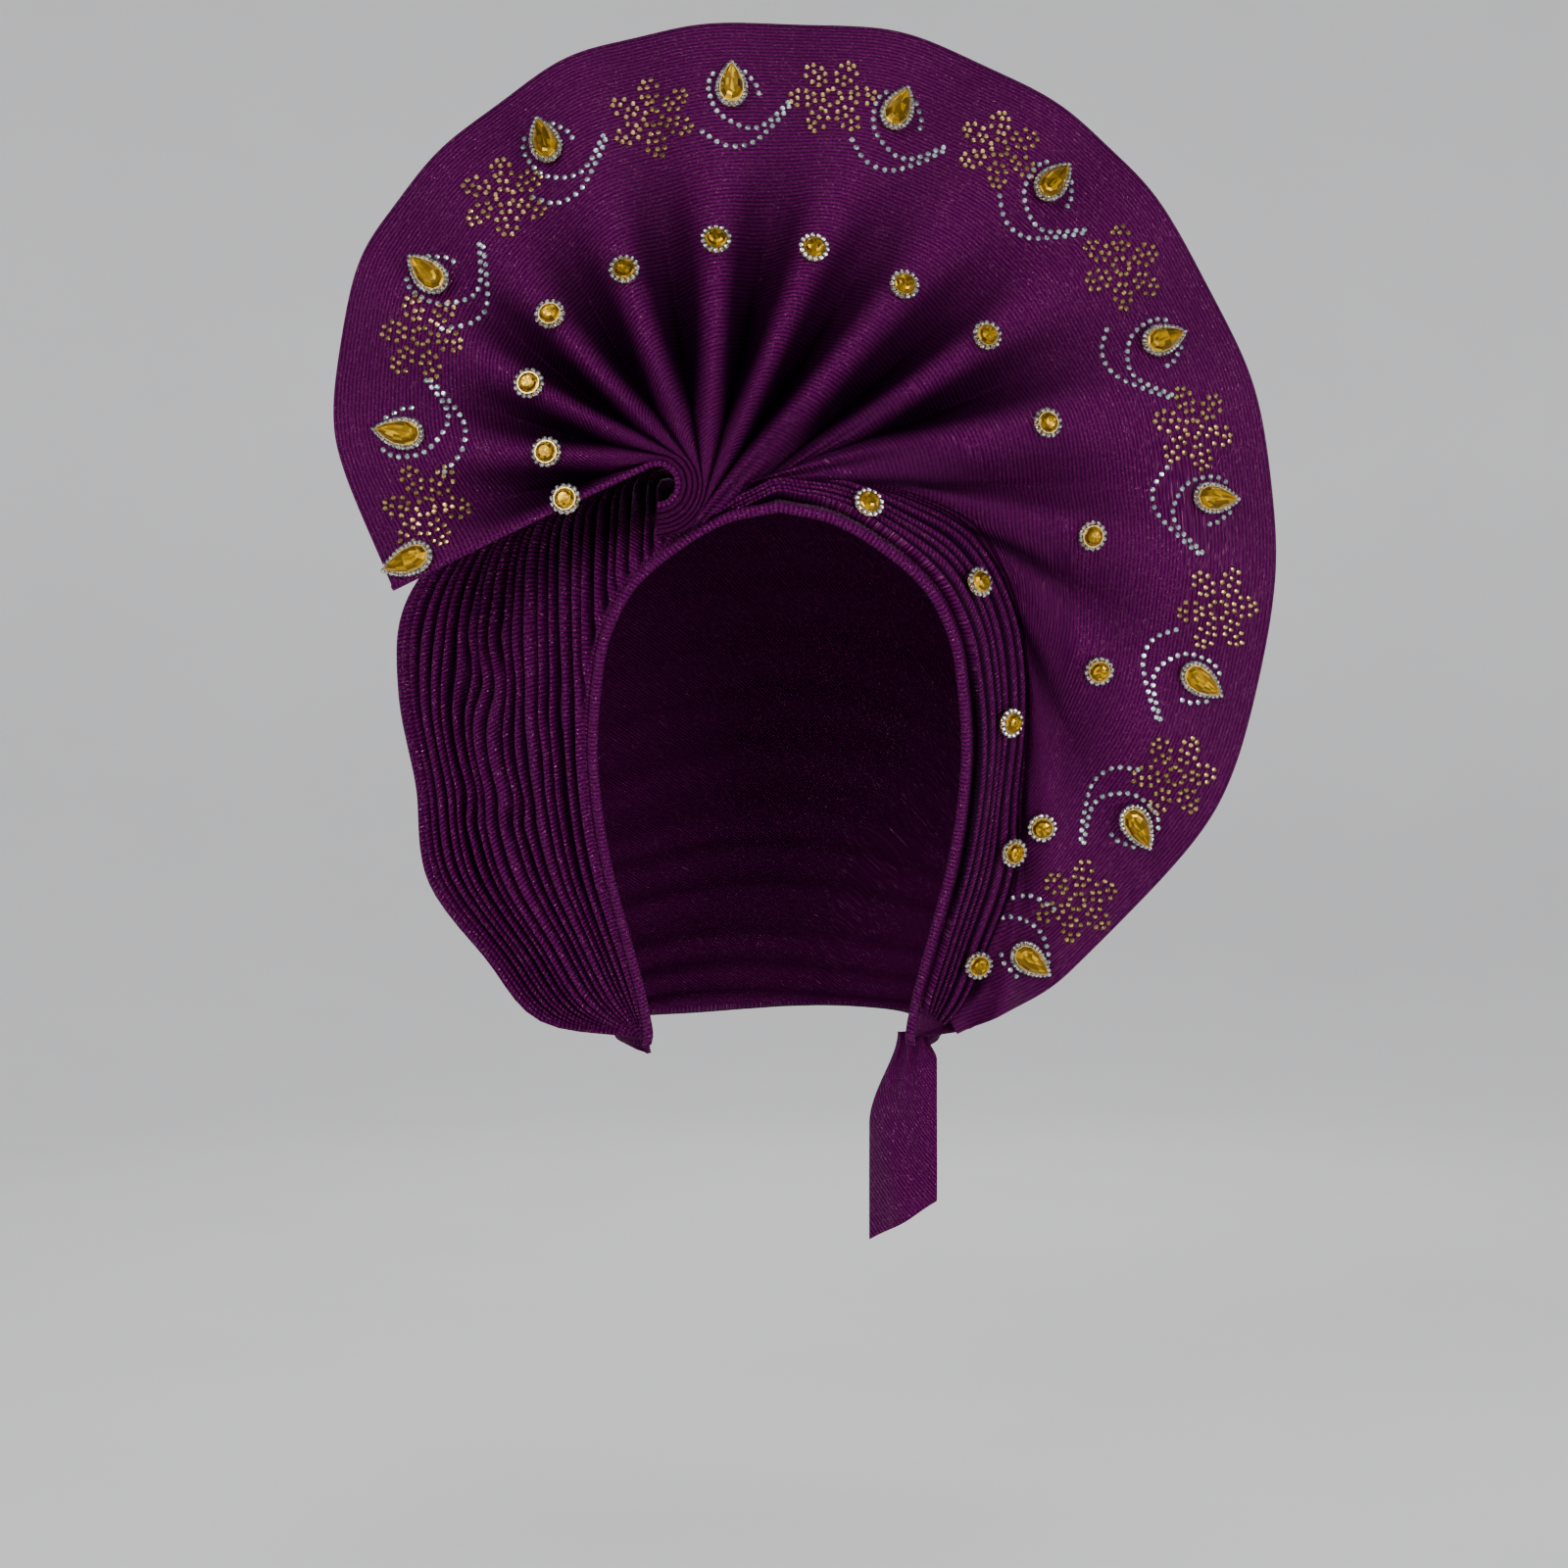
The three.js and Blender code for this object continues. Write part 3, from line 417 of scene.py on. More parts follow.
class GeleSizes(bpy.types.PropertyGroup):
    """Sizes of the head tie's pieces."""

    cloth: distance("Cloth", "Thickness of the cloth walls", 0.002)
    crown_height: distance("Crown height", "From the nape gathers up to the crown's inner point", 0.252)
    nape_set_back: distance("Nape set back", "Nape gathers behind the crown's inner point", 0.025)
    nape_half_width: distance("Nape half width", "From the middle to a nape gather", 0.054)
    nape_gather: distance("Nape gather", "Radius of a nape gather", 0.010)
    cap_reach: distance("Cap reach", "From the nape line to the top of the widest hoop", 0.255)
    cap_half_width: distance("Cap half width", "Half width of the widest hoop", 0.150)
    cap_pleat_height: distance("Cap pleat height", "Height of the cap's rounded pleats", 0.0024)
    cap_groove: distance("Cap groove", "Depth of the grooves between the cap's pleats", 0.0024)
    back_pleat_height: distance("Back pleat height", "Height of the wide pleats at the back", 0.004)
    front_pleats: IntProperty(name="Front pleats", description="Pleats up to the widest hoop", default=17)
    back_pleats: IntProperty(name="Back pleats", description="Pleats behind the widest hoop", default=14)
    band_radius: distance("Band radius", "Radius of the rolled face band", 0.0020)
    band_seat: distance("Band seat", "Gap from the face band to the cap's edge", 0.0004)
    stack_pleats: IntProperty(name="Stack pleats", description="Pleats beside the face opening", default=6)
    stack_pleat_height: distance("Stack pleat height", "Height of the stack's pleats", 0.0028)
    stack_seat: distance("Stack seat", "Gap from the stack to the cap", 0.0008)
    stack_rise: distance("Stack rise", "Thickness of the bundle at the throat", 0.008)
    eye_radius: distance("Eye radius", "Radius of the hem's turn round the eye", 0.0075)
    wrap_pitch: distance("Wrap pitch", "From one ridge to the next round the eye", 0.002)
    throat_rise: distance("Throat rise", "How far the throat stands in front of the cap", 0.008)
    fan_radius: distance("Fan radius", "Radius of the fan's disc", 0.182)
    fan_sweep: distance("Fan sweep", "How far the rim sweeps back", 0.110)
    fan_wall: distance("Fan wall", "Thickness of the fan along the view", 0.0024)
    fan_seat: distance("Fan seat", "Gap from the fan's inner edge to the stack", 0.0006)
    fold_depth: distance("Fold depth", "Depth of the deepest fold of the fan", 0.024)
    cord_depth: distance("Cord depth", "Depth between the ridges at the throat", 0.0014)
    rim_wave: distance("Rim wave", "Depth of the waves at the rim", 0.004)
    fine_pleat_depth: distance("Fine pleat depth", "Depth of the fan's fine pleats at its root", 0.0015)
    hem_radius: distance("Hem radius", "Radius of the rolled hem", 0.0012)
    tail_width: distance("Tail width", "Width of the hanging end", 0.034)
    tail_length: distance("Tail length", "Length of the hanging end at its outer edge", 0.062)
    tail_slant: distance("Tail slant", "Extra length at the inner edge", 0.019)
    tail_turn: FloatProperty(
        name="Tail turn", description="Turn of the hanging end round the neck",
        default=math.radians(38), subtype="ANGLE",
    )
    teardrop_length: distance("Teardrop length", "Length of a teardrop brooch", 0.0225)
    teardrop_width: distance("Teardrop width", "Width of a teardrop brooch", 0.0132)
    round_diameter: distance("Round diameter", "Diameter of a round brooch", 0.012)
    brooch_height: distance("Brooch height", "Height of a brooch with its stone", 0.0046)
    bead_diameter: distance("Bead diameter", "Diameter of the clear beads", 0.0021)
    hotfix_diameter: distance("Hot-fix diameter", "Diameter of the small flat-backed stones", 0.0022)


class GeleColours(bpy.types.PropertyGroup):
    """Colours and the fine pattern of the head tie's finishes."""

    cloth: colour("Cloth", "Deep plum of the cloth", (0.112, 0.0004, 0.086))
    groove: colour("Groove", "Darker plum between the cloth's ribs", (0.026, 0.0002, 0.022))
    glitter: colour("Glitter", "Glittering threads", (0.70, 0.22, 0.42))
    amber: colour("Amber", "Amber stones", (0.40, 0.215, 0.0))
    gold: colour("Gold", "Gold-coloured settings", (0.80, 0.55, 0.20))
    clear: colour("Clear beads", "Clear beads round the stones", (0.74, 0.73, 0.70))
    gold_stone: colour("Gold stones", "Small gold stones", (0.56, 0.36, 0.16))
    silver_stone: colour("Silver stones", "Small silver stones", (0.62, 0.72, 0.82))
    rib_pitch: distance("Rib pitch", "From one rib of the cloth to the next", 0.00175)
    thread_pitch: distance("Thread pitch", "From one thread to the next along a rib", 0.0007)


def ease(x):
    """A smooth step from 0 at x = 0 to 1 at x = 1, flat at both ends: 3 x squared less 2 x cubed."""
    c = np.clip(x, 0.0, 1.0)
    return c * c * (3 - 2 * c)


def after(x, start, span):
    """A smooth step from 0 at start to 1 a span later."""
    return ease((x - start) / span)


def before(x, start, span):
    """A smooth step from 1 at start to 0 a span later."""
    return 1 - after(x, start, span)


def window(x, start, rise, end, fall):
    """A smooth step up from start over rise and down from end over fall."""
    return after(x, start, rise) * before(x, end, fall)


def hermite(start, end, slope_in, slope_out, f):
    """The cubic from start to end with the given slopes, at the share f between them."""
    f2 = f * f
    f3 = f2 * f
    return (
        (2 * f3 - 3 * f2 + 1) * start
        + (f3 - 2 * f2 + f) * slope_in
        + (3 * f2 - 2 * f3) * end
        + (f3 - f2) * slope_out
    )


def through(a, b, c, d, f):
    """The cubic through four equally spaced values, from the second at f 0 to the third at f 1."""
    return hermite(b, c, (c - a) / 2, (d - b) / 2, f)


def lines_of(rows):
    """The lines of a table, one after another."""
    return zip(*rows.values())


def read(rows, column, at):
    """The smooth curve through a table's column over its rising first one, with chord slopes at each row."""
    keys = next(iter(rows.values()))
    values = rows[column]
    last = len(keys) - 1
    x = np.clip(at, keys[0], keys[-1])
    i = np.clip(np.searchsorted(keys, x, side="left") - 1, 0, last - 1)
    prior = np.maximum(i - 1, 0)
    later = np.minimum(i + 2, last)
    span = keys[i + 1] - keys[i]
    slope_in = span * (values[i + 1] - values[prior]) / (keys[i + 1] - keys[prior])
    slope_out = span * (values[later] - values[i]) / (keys[later] - keys[i])
    return hermite(values[i], values[i + 1], slope_in, slope_out, (x - keys[i]) / span)


def unit(v):
    """Vectors scaled to length 1."""
    return v / np.linalg.norm(v, axis=-1, keepdims=True)


def stacked(*parts):
    """Coordinates joined into points, after they are brought to one shape."""
    return np.stack(np.broadcast_arrays(*parts), axis=-1)


class HeadTieForm:
    """The surfaces of the head tie as functions of two shares, worked out from the named sizes."""

    def __init__(self, sizes):
        self.sizes = sizes
        face_top = self.cap_point(np.array(0.0), np.array(0.0))
        self.eye = np.array([
            face_top[0] - EYE_ASIDE * HOOPS["left"][0] * sizes.cap_half_width,
            face_top[1] - sizes.throat_rise + EYE_BACK,
            face_top[2] + EYE_UP * sizes.eye_radius,
        ])
        self.lay_ridges()

    def cap_point(self, across, side):
        """A point of the cap: the hoop at across, cut at side, turned about the nape line by its tilt."""
        s = self.sizes
        hoop = {column: read(HOOPS, column, across) for column in list(HOOPS)[1:]}
        half = {column: read(HOOP_OUTLINE, column, 1 - np.abs(side)) for column in list(HOOP_OUTLINE)[1:]}
        half_width = s.cap_half_width * np.where(side < 0, hoop["left"], hoop["right"])
        spread = half["face_spread"] + (half["full_spread"] - half["face_spread"]) * hoop["fullness"]
        rise = half["face_rise"] + (half["full_rise"] - half["face_rise"]) * hoop["fullness"]
        out = s.nape_half_width * half["hold"] + half_width * spread
        up = s.nape_gather + (s.cap_reach * hoop["reach"] - s.nape_gather) * rise
        tilt = np.radians(hoop["tilt"])
        return stacked(
            np.sign(side) * out,
            s.nape_set_back + up * np.sin(tilt),
            up * np.cos(tilt) - s.crown_height,
        )

    def cap_frame(self, across, side):
        """The cap's outward direction and its direction backwards across the hoops."""
        ahead, behind = np.minimum(across + PROBE, 1), np.maximum(across - PROBE, 0)
        right, left = np.minimum(side + PROBE, 1), np.maximum(side - PROBE, -1)
        backwards = unit(self.cap_point(ahead, side) - self.cap_point(behind, side))
        sideways = unit(self.cap_point(across, right) - self.cap_point(across, left))
        return unit(np.cross(sideways, backwards)), backwards

    def on_cap(self, across, side, lift, back=0.0):
        """A point lifted off the cap along its outward direction and moved backwards across the hoops."""
        outward, backwards = self.cap_frame(across, side)
        lift = np.asarray(lift)[..., None]
        return self.cap_point(across, side) + outward * lift + backwards * np.asarray(back)[..., None]

    def stack_point(self, over, side, lift):
        """A point of the stack: a share over its width at a side share, lifted off the cap."""
        s = self.sizes
        outer = read(STACK_LINE, "across", side)
        rise = s.stack_rise * read(STACK_LINE, "rise", side) * over
        return self.on_cap(outer * over, side, s.stack_seat + rise + lift)

    def beside_stack(self, side):
        """The fan's inner edge: the stack's outer line, moved off it by the fan's seat."""
        s = self.sizes
        across = read(STACK_LINE, "across", side)
        backwards = self.cap_frame(across, side)[1]
        return self.stack_point(np.ones_like(side), side, s.cloth) + backwards * s.fan_seat

    def lay_ridges(self):
        """Each ridge's start, its neck where it leaves the wrap round the eye, and its rim."""
        s = self.sizes
        eye = self.eye
        disc = eye + DISC_CENTRE * s.fan_radius
        lanes = s.eye_radius + s.wrap_pitch * RIDGES["lane"]
        start = np.radians(RIDGES["start"])
        at_stack = RIDGES["at_stack"] > 0
        at_eye = stacked(
            eye[0] + lanes * np.cos(start),
            np.full(len(lanes), eye[1] + START_DEPTH * s.throat_rise),
            eye[2] + lanes * np.sin(start),
        )
        root = np.where(at_stack[:, None], self.beside_stack(RIDGES["side"]), at_eye)
        own = RIDGES["from_root"] > 0
        centre = np.where(own[:, None], root, disc)
        angle = np.radians(RIDGES["angle"])
        rim = stacked(
            centre[:, 0] + s.fan_radius * RIDGES["reach"] * np.cos(angle),
            np.where(own, root[:, 1] + OWN_SWEEP * s.fan_sweep, eye[1] + s.fan_sweep * RIDGES["back"]),
            centre[:, 2] + s.fan_radius * RIDGES["reach"] * np.sin(angle),
        )
        to_rim = np.arctan2(rim[:, 2] - eye[2], rim[:, 0] - eye[0])
        to_rim = np.where(to_rim < -np.pi / 2, to_rim + 2 * np.pi, to_rim)
        far = np.hypot(rim[:, 0] - eye[0], rim[:, 2] - eye[2])
        leave = to_rim - np.arccos(lanes / far)
        wraps = ~at_stack & (leave > start)
        left_wrap = stacked(
            eye[0] + lanes * np.cos(leave),
            np.full(len(lanes), eye[1]),
            eye[2] + lanes * np.sin(leave),
        )
        self.lanes, self.start, self.leave, self.wraps = lanes, start, leave, wraps
        self.root, self.rim = root, rim
        self.neck = np.where(wraps[:, None], left_wrap, root)

    def ridge_point(self, k, out):
        """A point of ridge k: an arc round the eye up to the neck share, then a bowed run to the rim."""
        wraps = self.wraps[k]
        f = np.where(wraps, (out - NECK_SHARE) / (1 - NECK_SHARE), out)
        neck = self.neck[k]
        run = self.rim[k] - neck
        length = np.hypot(run[..., 0], run[..., 2])
        sag = 4 * f * (1 - f) * RIDGES["bow"][k] * length
        straight = stacked(
            neck[..., 0] + run[..., 0] * f - sag * run[..., 2] / length,
            neck[..., 1] + run[..., 1] * (EVEN_SWEEP * f + (1 - EVEN_SWEEP) * f * f),
            neck[..., 2] + run[..., 2] * f + sag * run[..., 0] / length,
        )
        w = np.clip(out / NECK_SHARE, 0, 1)
        angle = self.start[k] + (self.leave[k] - self.start[k]) * w
        depth = self.root[k][..., 1] + (neck[..., 1] - self.root[k][..., 1]) * ease(w)
        arc = stacked(
            self.eye[0] + self.lanes[k] * np.cos(angle),
            depth,
            self.eye[2] + self.lanes[k] * np.sin(angle),
        )
        return np.where((wraps & (out < NECK_SHARE))[..., None], arc, straight)

    def crest_point(self, ridge, out):
        """The smooth surface through the ridges, whose inner edge is drawn to the stack's outer line."""
        last = len(RIDGES["lane"]) - 1
        i = np.minimum(np.floor(ridge).astype(int), last - 1)
        f = ridge - i
        near = [np.clip(i + step, 0, last) for step in (-1, 0, 1, 2)]
        p = through(*(self.ridge_point(k, out) for k in near), f[..., None])
        sides = [RIDGES["side"][np.clip(k, FIRST_AT_STACK, last)] for k in near]
        along = self.beside_stack(through(*sides, f))
        straight = through(*(self.root[k] for k in near), f[..., None])
        pull = np.where(i >= FIRST_AT_STACK, before(out, 0, STACK_PULL), 0.0)
        return p + (along - straight) * pull[..., None]

    def fold_depth(self, ridge, out):
        """How far the cloth falls behind the crests: round cords at the neck, waves towards the rim."""
        s = self.sizes
        i = np.minimum(np.floor(ridge).astype(int), len(FOLDS["depth"]) - 1)
        deep, peak, fade = FOLDS["depth"][i], FOLDS["peak"][i], FOLDS["fade"][i]
        way = np.clip((out - NECK_SHARE) / (1 - NECK_SHARE), 0, 1)
        swell = window(way, 0, peak, peak, fade - peak)
        depth = s.cord_depth + (s.fold_depth * deep - s.cord_depth) * swell + s.rim_wave * ease(way / fade)
        from_crest = 2 * np.minimum(ridge - i, i + 1 - ridge)
        cord = 1 - np.sqrt(np.maximum(1 - from_crest**2, 0))
        wave = np.sin(np.pi * from_crest / 2) ** 2
        blend = np.clip(way / CORD_FADE, 0, 1)
        return depth * (cord + (wave - cord) * blend)

    def fan_point(self, ridge, out):
        """The fan's front: the crest surface pushed back along Y by the fold depth."""
        p = self.crest_point(ridge, out)
        p[..., 1] += self.fold_depth(ridge, out)
        return p


def slab(outer, inner):
    """Points and quads of the closed wall between two grids, with its four narrow sides."""
    rows, columns = outer.shape[:2]
    points = np.concatenate([outer.reshape(-1, 3), inner.reshape(-1, 3)])
    index = np.arange(2 * rows * columns).reshape(2, rows, columns)
    a, b = index[:, :-1, :-1], index[:, :-1, 1:]
    c, d = index[:, 1:, 1:], index[:, 1:, :-1]
    front = np.stack([a[0], d[0], c[0], b[0]], axis=-1).reshape(-1, 4)
    back = np.stack([a[1], b[1], c[1], d[1]], axis=-1).reshape(-1, 4)
    o, n = index[0], index[1]
    sides = [
        np.stack([o[:-1, 0], n[:-1, 0], n[1:, 0], o[1:, 0]], axis=-1),
        np.stack([o[1:, -1], n[1:, -1], n[:-1, -1], o[:-1, -1]], axis=-1),
        np.stack([o[0, 1:], n[0, 1:], n[0, :-1], o[0, :-1]], axis=-1),
        np.stack([o[-1, :-1], n[-1, :-1], n[-1, 1:], o[-1, 1:]], axis=-1),
    ]
    return points, np.concatenate([front, back] + sides)


def tube(centres, across, up, radius, sides):
    """Points and faces of a closed tube: a ring of points round each centre, turned by two directions."""
    angle = 2 * np.pi * np.arange(sides) / sides
    ring = across[:, None] * np.cos(angle)[None, :, None] + up[:, None] * np.sin(angle)[None, :, None]
    points = (centres[:, None] + ring * radius).reshape(-1, 3)
    rows = len(centres)
    index = np.arange(rows * sides).reshape(rows, sides)
    turned = np.roll(index, -1, axis=1)
    quads = np.stack([index[:-1], index[1:], turned[1:], turned[:-1]], axis=-1).reshape(-1, 4)
    faces = quads.tolist() + [index[0].tolist(), index[-1][::-1].tolist()]
    return points, faces


def add_piece(name, points, faces, materials, slots=None, uv=None, smooth=True, painted_light=None):
    """A mesh object at the origin from arrays of points, faces, material slots, UVs and shares of painted
    lightness.
    """
    mesh = bpy.data.meshes.new(name)
    mesh.from_pydata(points.tolist(), [], faces if isinstance(faces, list) else faces.tolist())
    for material in materials:
        mesh.materials.append(material)
    if slots is not None:
        mesh.polygons.foreach_set("material_index", np.asarray(slots, np.int32))
    smooth_faces = np.broadcast_to(np.asarray(smooth, bool), (len(mesh.polygons),))
    mesh.polygons.foreach_set("use_smooth", np.ascontiguousarray(smooth_faces))
    if uv is not None:
        corner = np.zeros(len(mesh.loops), np.int32)
        mesh.loops.foreach_get("vertex_index", corner)
        layer = mesh.uv_layers.new(name="cloth")
        layer.uv.foreach_set("vector", uv[corner].astype(np.float32).ravel())
        # Shares of painted lightness: 1 is unshaded, lower is painted shade
        share = np.ones(len(points)) if painted_light is None else painted_light
        mesh.attributes.new("painted_light", "FLOAT", "POINT").data.foreach_set("value", share.astype(np.float32))
    mesh.update()
    piece = bpy.data.objects.new(name, mesh)
    bpy.context.scene.collection.objects.link(piece)
    return piece


def finish_piece(piece, slot, *nodes):
    """The piece rides on the head tie's one body and stands for its nodes, which it hides. Its slot is not
    used.
    """
    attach(piece, "root")
    if nodes:
        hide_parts(*nodes)


def lengths_along(grid, axis):
    """Distance along a line, or the rows or columns of a grid of points, from its first to its last."""
    steps = np.linalg.norm(np.diff(grid, axis=axis), axis=-1)
    start = np.zeros_like(np.take(steps, [0], axis=axis))
    return np.concatenate([start, np.cumsum(steps, axis=axis)], axis=axis)


def at_shares(line, shares):
    """Points of a flat line at shares of its length."""
    walked = lengths_along(line, 0)
    return np.stack([np.interp(shares * walked[-1], walked, part) for part in line.T], axis=-1)


class Nodes:
    """A short way to lay out a material's nodes."""

    def __init__(self, name):
        self.material = bpy.data.materials.new(name)
        self.material.use_nodes = True
        self.tree = self.material.node_tree
        self.shader = self.tree.nodes["Principled BSDF"]

    def add(self, kind, **settings):
        node = self.tree.nodes.new(kind)
        for key, value in settings.items():
            setattr(node, key, value)
        return node

    def link(self, source, target):
        self.tree.links.new(source, target)

    def feed(self, sockets, values):
        """Link or set each socket, where a colour gets its full alpha."""
        for socket, value in zip(sockets, values):
            if isinstance(value, bpy.types.NodeSocket):
                self.link(value, socket)
            elif isinstance(value, (int, float)):
                socket.default_value = value
            else:
                socket.default_value = (*value, 1.0)

    def math(self, operation, *values, clamp=False):
        node = self.add("ShaderNodeMath", operation=operation, use_clamp=clamp)
        self.feed(node.inputs, values)
        return node.outputs[0]

    def times(self, a, b, clamp=False):
        return self.math("MULTIPLY", a, b, clamp=clamp)

    def plus(self, a, b):
        return self.math("ADD", a, b)

    def mix(self, factor, a, b):
        node = self.add("ShaderNodeMix", data_type="RGBA")
        self.feed((node.inputs[0], node.inputs[6], node.inputs[7]), (factor, a, b))
        return node.outputs[2]

    def noise(self, place, scale, detail=2.0, dimensions="3D"):
        node = self.add("ShaderNodeTexNoise", noise_dimensions=dimensions)
        self.feed([node.inputs[key] for key in ("Vector", "Scale", "Detail")], (place, scale, detail))
        return node.outputs[0]

    def wave(self, value, pitch):
        """A sine between 0 and 1 that repeats after each pitch."""
        return self.math("MULTIPLY_ADD", self.math("SINE", self.times(value, 2 * math.pi / pitch)), 0.5, 0.5)

    def attribute(self, name):
        return self.add("ShaderNodeAttribute", attribute_type="GEOMETRY", attribute_name=name).outputs["Fac"]

    def set(self, **values):
        """Link or set inputs of the shader, whose names are written with _ for a space."""
        for key, value in values.items():
            socket = self.shader.inputs[key.replace("_", " ")]
            if isinstance(value, bpy.types.NodeSocket):
                self.link(value, socket)
            else:
                socket.default_value = value


def cloth_material(name, colours):
    """Plum cloth: ribs across the piece's V, threads along its U, uneven tone, glittering threads, and
    painted shade that mixes it towards near black by the mesh's painted lightness.
    """
    n = Nodes(name)
    uv = n.add("ShaderNodeUVMap", uv_map="cloth").outputs[0]
    parts = n.add("ShaderNodeSeparateXYZ")
    n.link(uv, parts.inputs[0])
    wobble = n.math("SUBTRACT", n.noise(uv, WOBBLE_SCALE, dimensions="2D"), 0.5)
    rib = n.wave(n.plus(parts.outputs[1], n.times(wobble, 0.5 * colours.rib_pitch)), colours.rib_pitch)
    thread = n.wave(parts.outputs[0], colours.thread_pitch)
    shade = n.noise(uv, SHADE_SCALE, 3.0, "2D")
    lit = n.times(rib, n.plus(n.times(shade, 1.1), 0.35), clamp=True)
    # Painted shade: the mesh's share of painted lightness mixes the cloth towards near-black plum in pleat
    # valleys, deep folds and creases
    painted_light = n.attribute("painted_light")
    ground = n.mix(painted_light, PAINTED_SHADE_COLOUR, n.mix(lit, colours.groove, colours.cloth))
    cells = n.add("ShaderNodeTexVoronoi", voronoi_dimensions="2D")
    n.feed((cells.inputs["Vector"], cells.inputs["Scale"]), (uv, GLITTER_SCALE))
    chance = n.add("ShaderNodeSeparateColor")
    n.link(cells.outputs["Color"], chance.inputs[0])
    chosen = n.math("GREATER_THAN", chance.outputs[0], GLITTER_RARE)
    spot = n.math("LESS_THAN", cells.outputs["Distance"], GLITTER_SPOT)
    glint = n.times(n.times(chosen, spot), n.math("POWER", chance.outputs[1], 2.0))
    # The glitter fades out where shade is painted
    seen = n.times(n.times(glint, GLITTER_STRENGTH), painted_light)
    relief = n.plus(n.plus(rib, n.times(n.times(thread, rib), 0.35)), n.times(shade, 0.25))
    bump = n.add("ShaderNodeBump")
    n.feed([bump.inputs[key] for key in ("Strength", "Distance", "Height")], (0.75, 0.5 * MM, relief))
    n.set(
        Base_Color=n.mix(seen, ground, colours.glitter),
        Metallic=n.times(glint, 0.8),
        Roughness=n.math("SUBTRACT", 0.55, n.times(glint, 0.3)),
        Specular_IOR_Level=0.09,
        Specular_Tint=(1.0, 0.15, 0.9, 1.0),
        Normal=bump.outputs[0],
    )
    return n.material


def facet_material(name, tint, metallic, roughness, spread, flash):
    """Cut stones: each facet has its own painted reflection, a brightness from the mesh's facet attribute,
    under a thin coat.

    Spread and flash are the darkest and the brightest painted facet reflection as shares of the tint. The
    stronger the flash, the fewer facets come near it.
    """
    n = Nodes(name)
    dark = tuple(c * spread for c in tint)
    bright = tuple(min(1.0, c * flash) for c in tint)
    # Painted reflections: each facet's random share mixes the stone's colour from dark to bright
    facet = n.math("POWER", n.attribute("facet"), 1.2 * flash)
    n.set(
        Base_Color=n.mix(facet, dark, bright),
        Metallic=metallic,
        Roughness=roughness,
        Coat_Weight=0.1,
        Coat_Roughness=0.03,
    )
    return n.material


def metal_material(name, tint):
    """Polished gold-coloured metal with faint uneven roughness."""
    n = Nodes(name)
    noise = n.noise(n.add("ShaderNodeTexCoord").outputs["Object"], 700.0)
    n.set(
        Base_Color=n.mix(noise, tuple(c * 0.7 for c in tint), tint),
        Metallic=1.0,
        Roughness=n.plus(n.times(noise, 0.2), 0.12),
    )
    return n.material


def shared(name, make, *given):
    """The material of this name, made on first use."""
    return bpy.data.materials.get(name) or make(name, *given)


def add_cloth(name, node, colours, outer, inner, u, v, painted_light=1.0, inside_painted_light=None):
    """A wall of cloth between two grids, in place of its node. U and V are lengths in the cloth. Shares of
    painted lightness lay painted shade on the first grid's wall and, unless the second has a share of its
    own, the same on the second's.
    """
    points, faces = slab(outer, inner)
    uv = np.tile(np.stack([u, v], axis=-1).reshape(-1, 2), (2, 1))
    # Painted shade on the two walls
    lights = (painted_light, painted_light if inside_painted_light is None else inside_painted_light)
    shares = np.concatenate([np.broadcast_to(share, u.shape).ravel() for share in lights])
    cloth = shared("cloth_look", cloth_material, colours)
    piece = add_piece(name, points, faces, [cloth], uv=uv, painted_light=shares)
    finish_piece(piece, "gele_cloth", node)
    return piece


def add_roll(name, colours, centres, directions, radius, sides, girth, along):
    """A roll of cloth along a line. U goes round its girth, and V is the given length along it."""
    points, faces = tube(centres, *directions, radius, sides)
    around = np.tile(np.arange(sides) / sides * girth, len(centres))
    uv = np.stack([around, np.repeat(along, sides)], axis=-1)
    return add_piece(name, points, faces, [shared("cloth_look", cloth_material, colours)], uv=uv)


def add_painted_reflections(piece, seed):
    """A fixed random painted reflection on each face: its brightness stands in for the glints of cut stones.
    """
    count = len(piece.data.polygons)
    painted_reflections = np.random.default_rng(seed).random(count).astype(np.float32)
    piece.data.attributes.new("facet", "FLOAT", "FACE").data.foreach_set("value", painted_reflections)


def rounded(phase):
    """A pleat's section over its phase from 0 to 1: a raised cosine to a power, 1 at its middle."""
    return (0.5 - 0.5 * np.cos(2 * np.pi * phase)) ** 0.8


def cap_pleats(form, sizes, across, side):
    """How many pleats lie between the widest place of the face edge and a place of the cap.

    They are even over the hoops, but beside the throat they are counted by the place's own X, so that
    pleats stand upright there and come out from under the face band one after another.
    """
    even = np.where(
        across < WIDEST,
        across / WIDEST * sizes.front_pleats,
        sizes.front_pleats + (across - WIDEST) / (1 - WIDEST) * sizes.back_pleats,
    )
    edge_x = -sizes.cap_half_width * HOOPS["left"][0]
    x = form.cap_point(across, side)[..., 0]
    upright = (edge_x - x) / (sizes.cap_half_width + edge_x) * sizes.front_pleats
    steep = window(side, *UPRIGHT_SIDES) * before(across, *UPRIGHT_ACROSS)
    return even + (upright - even) * steep


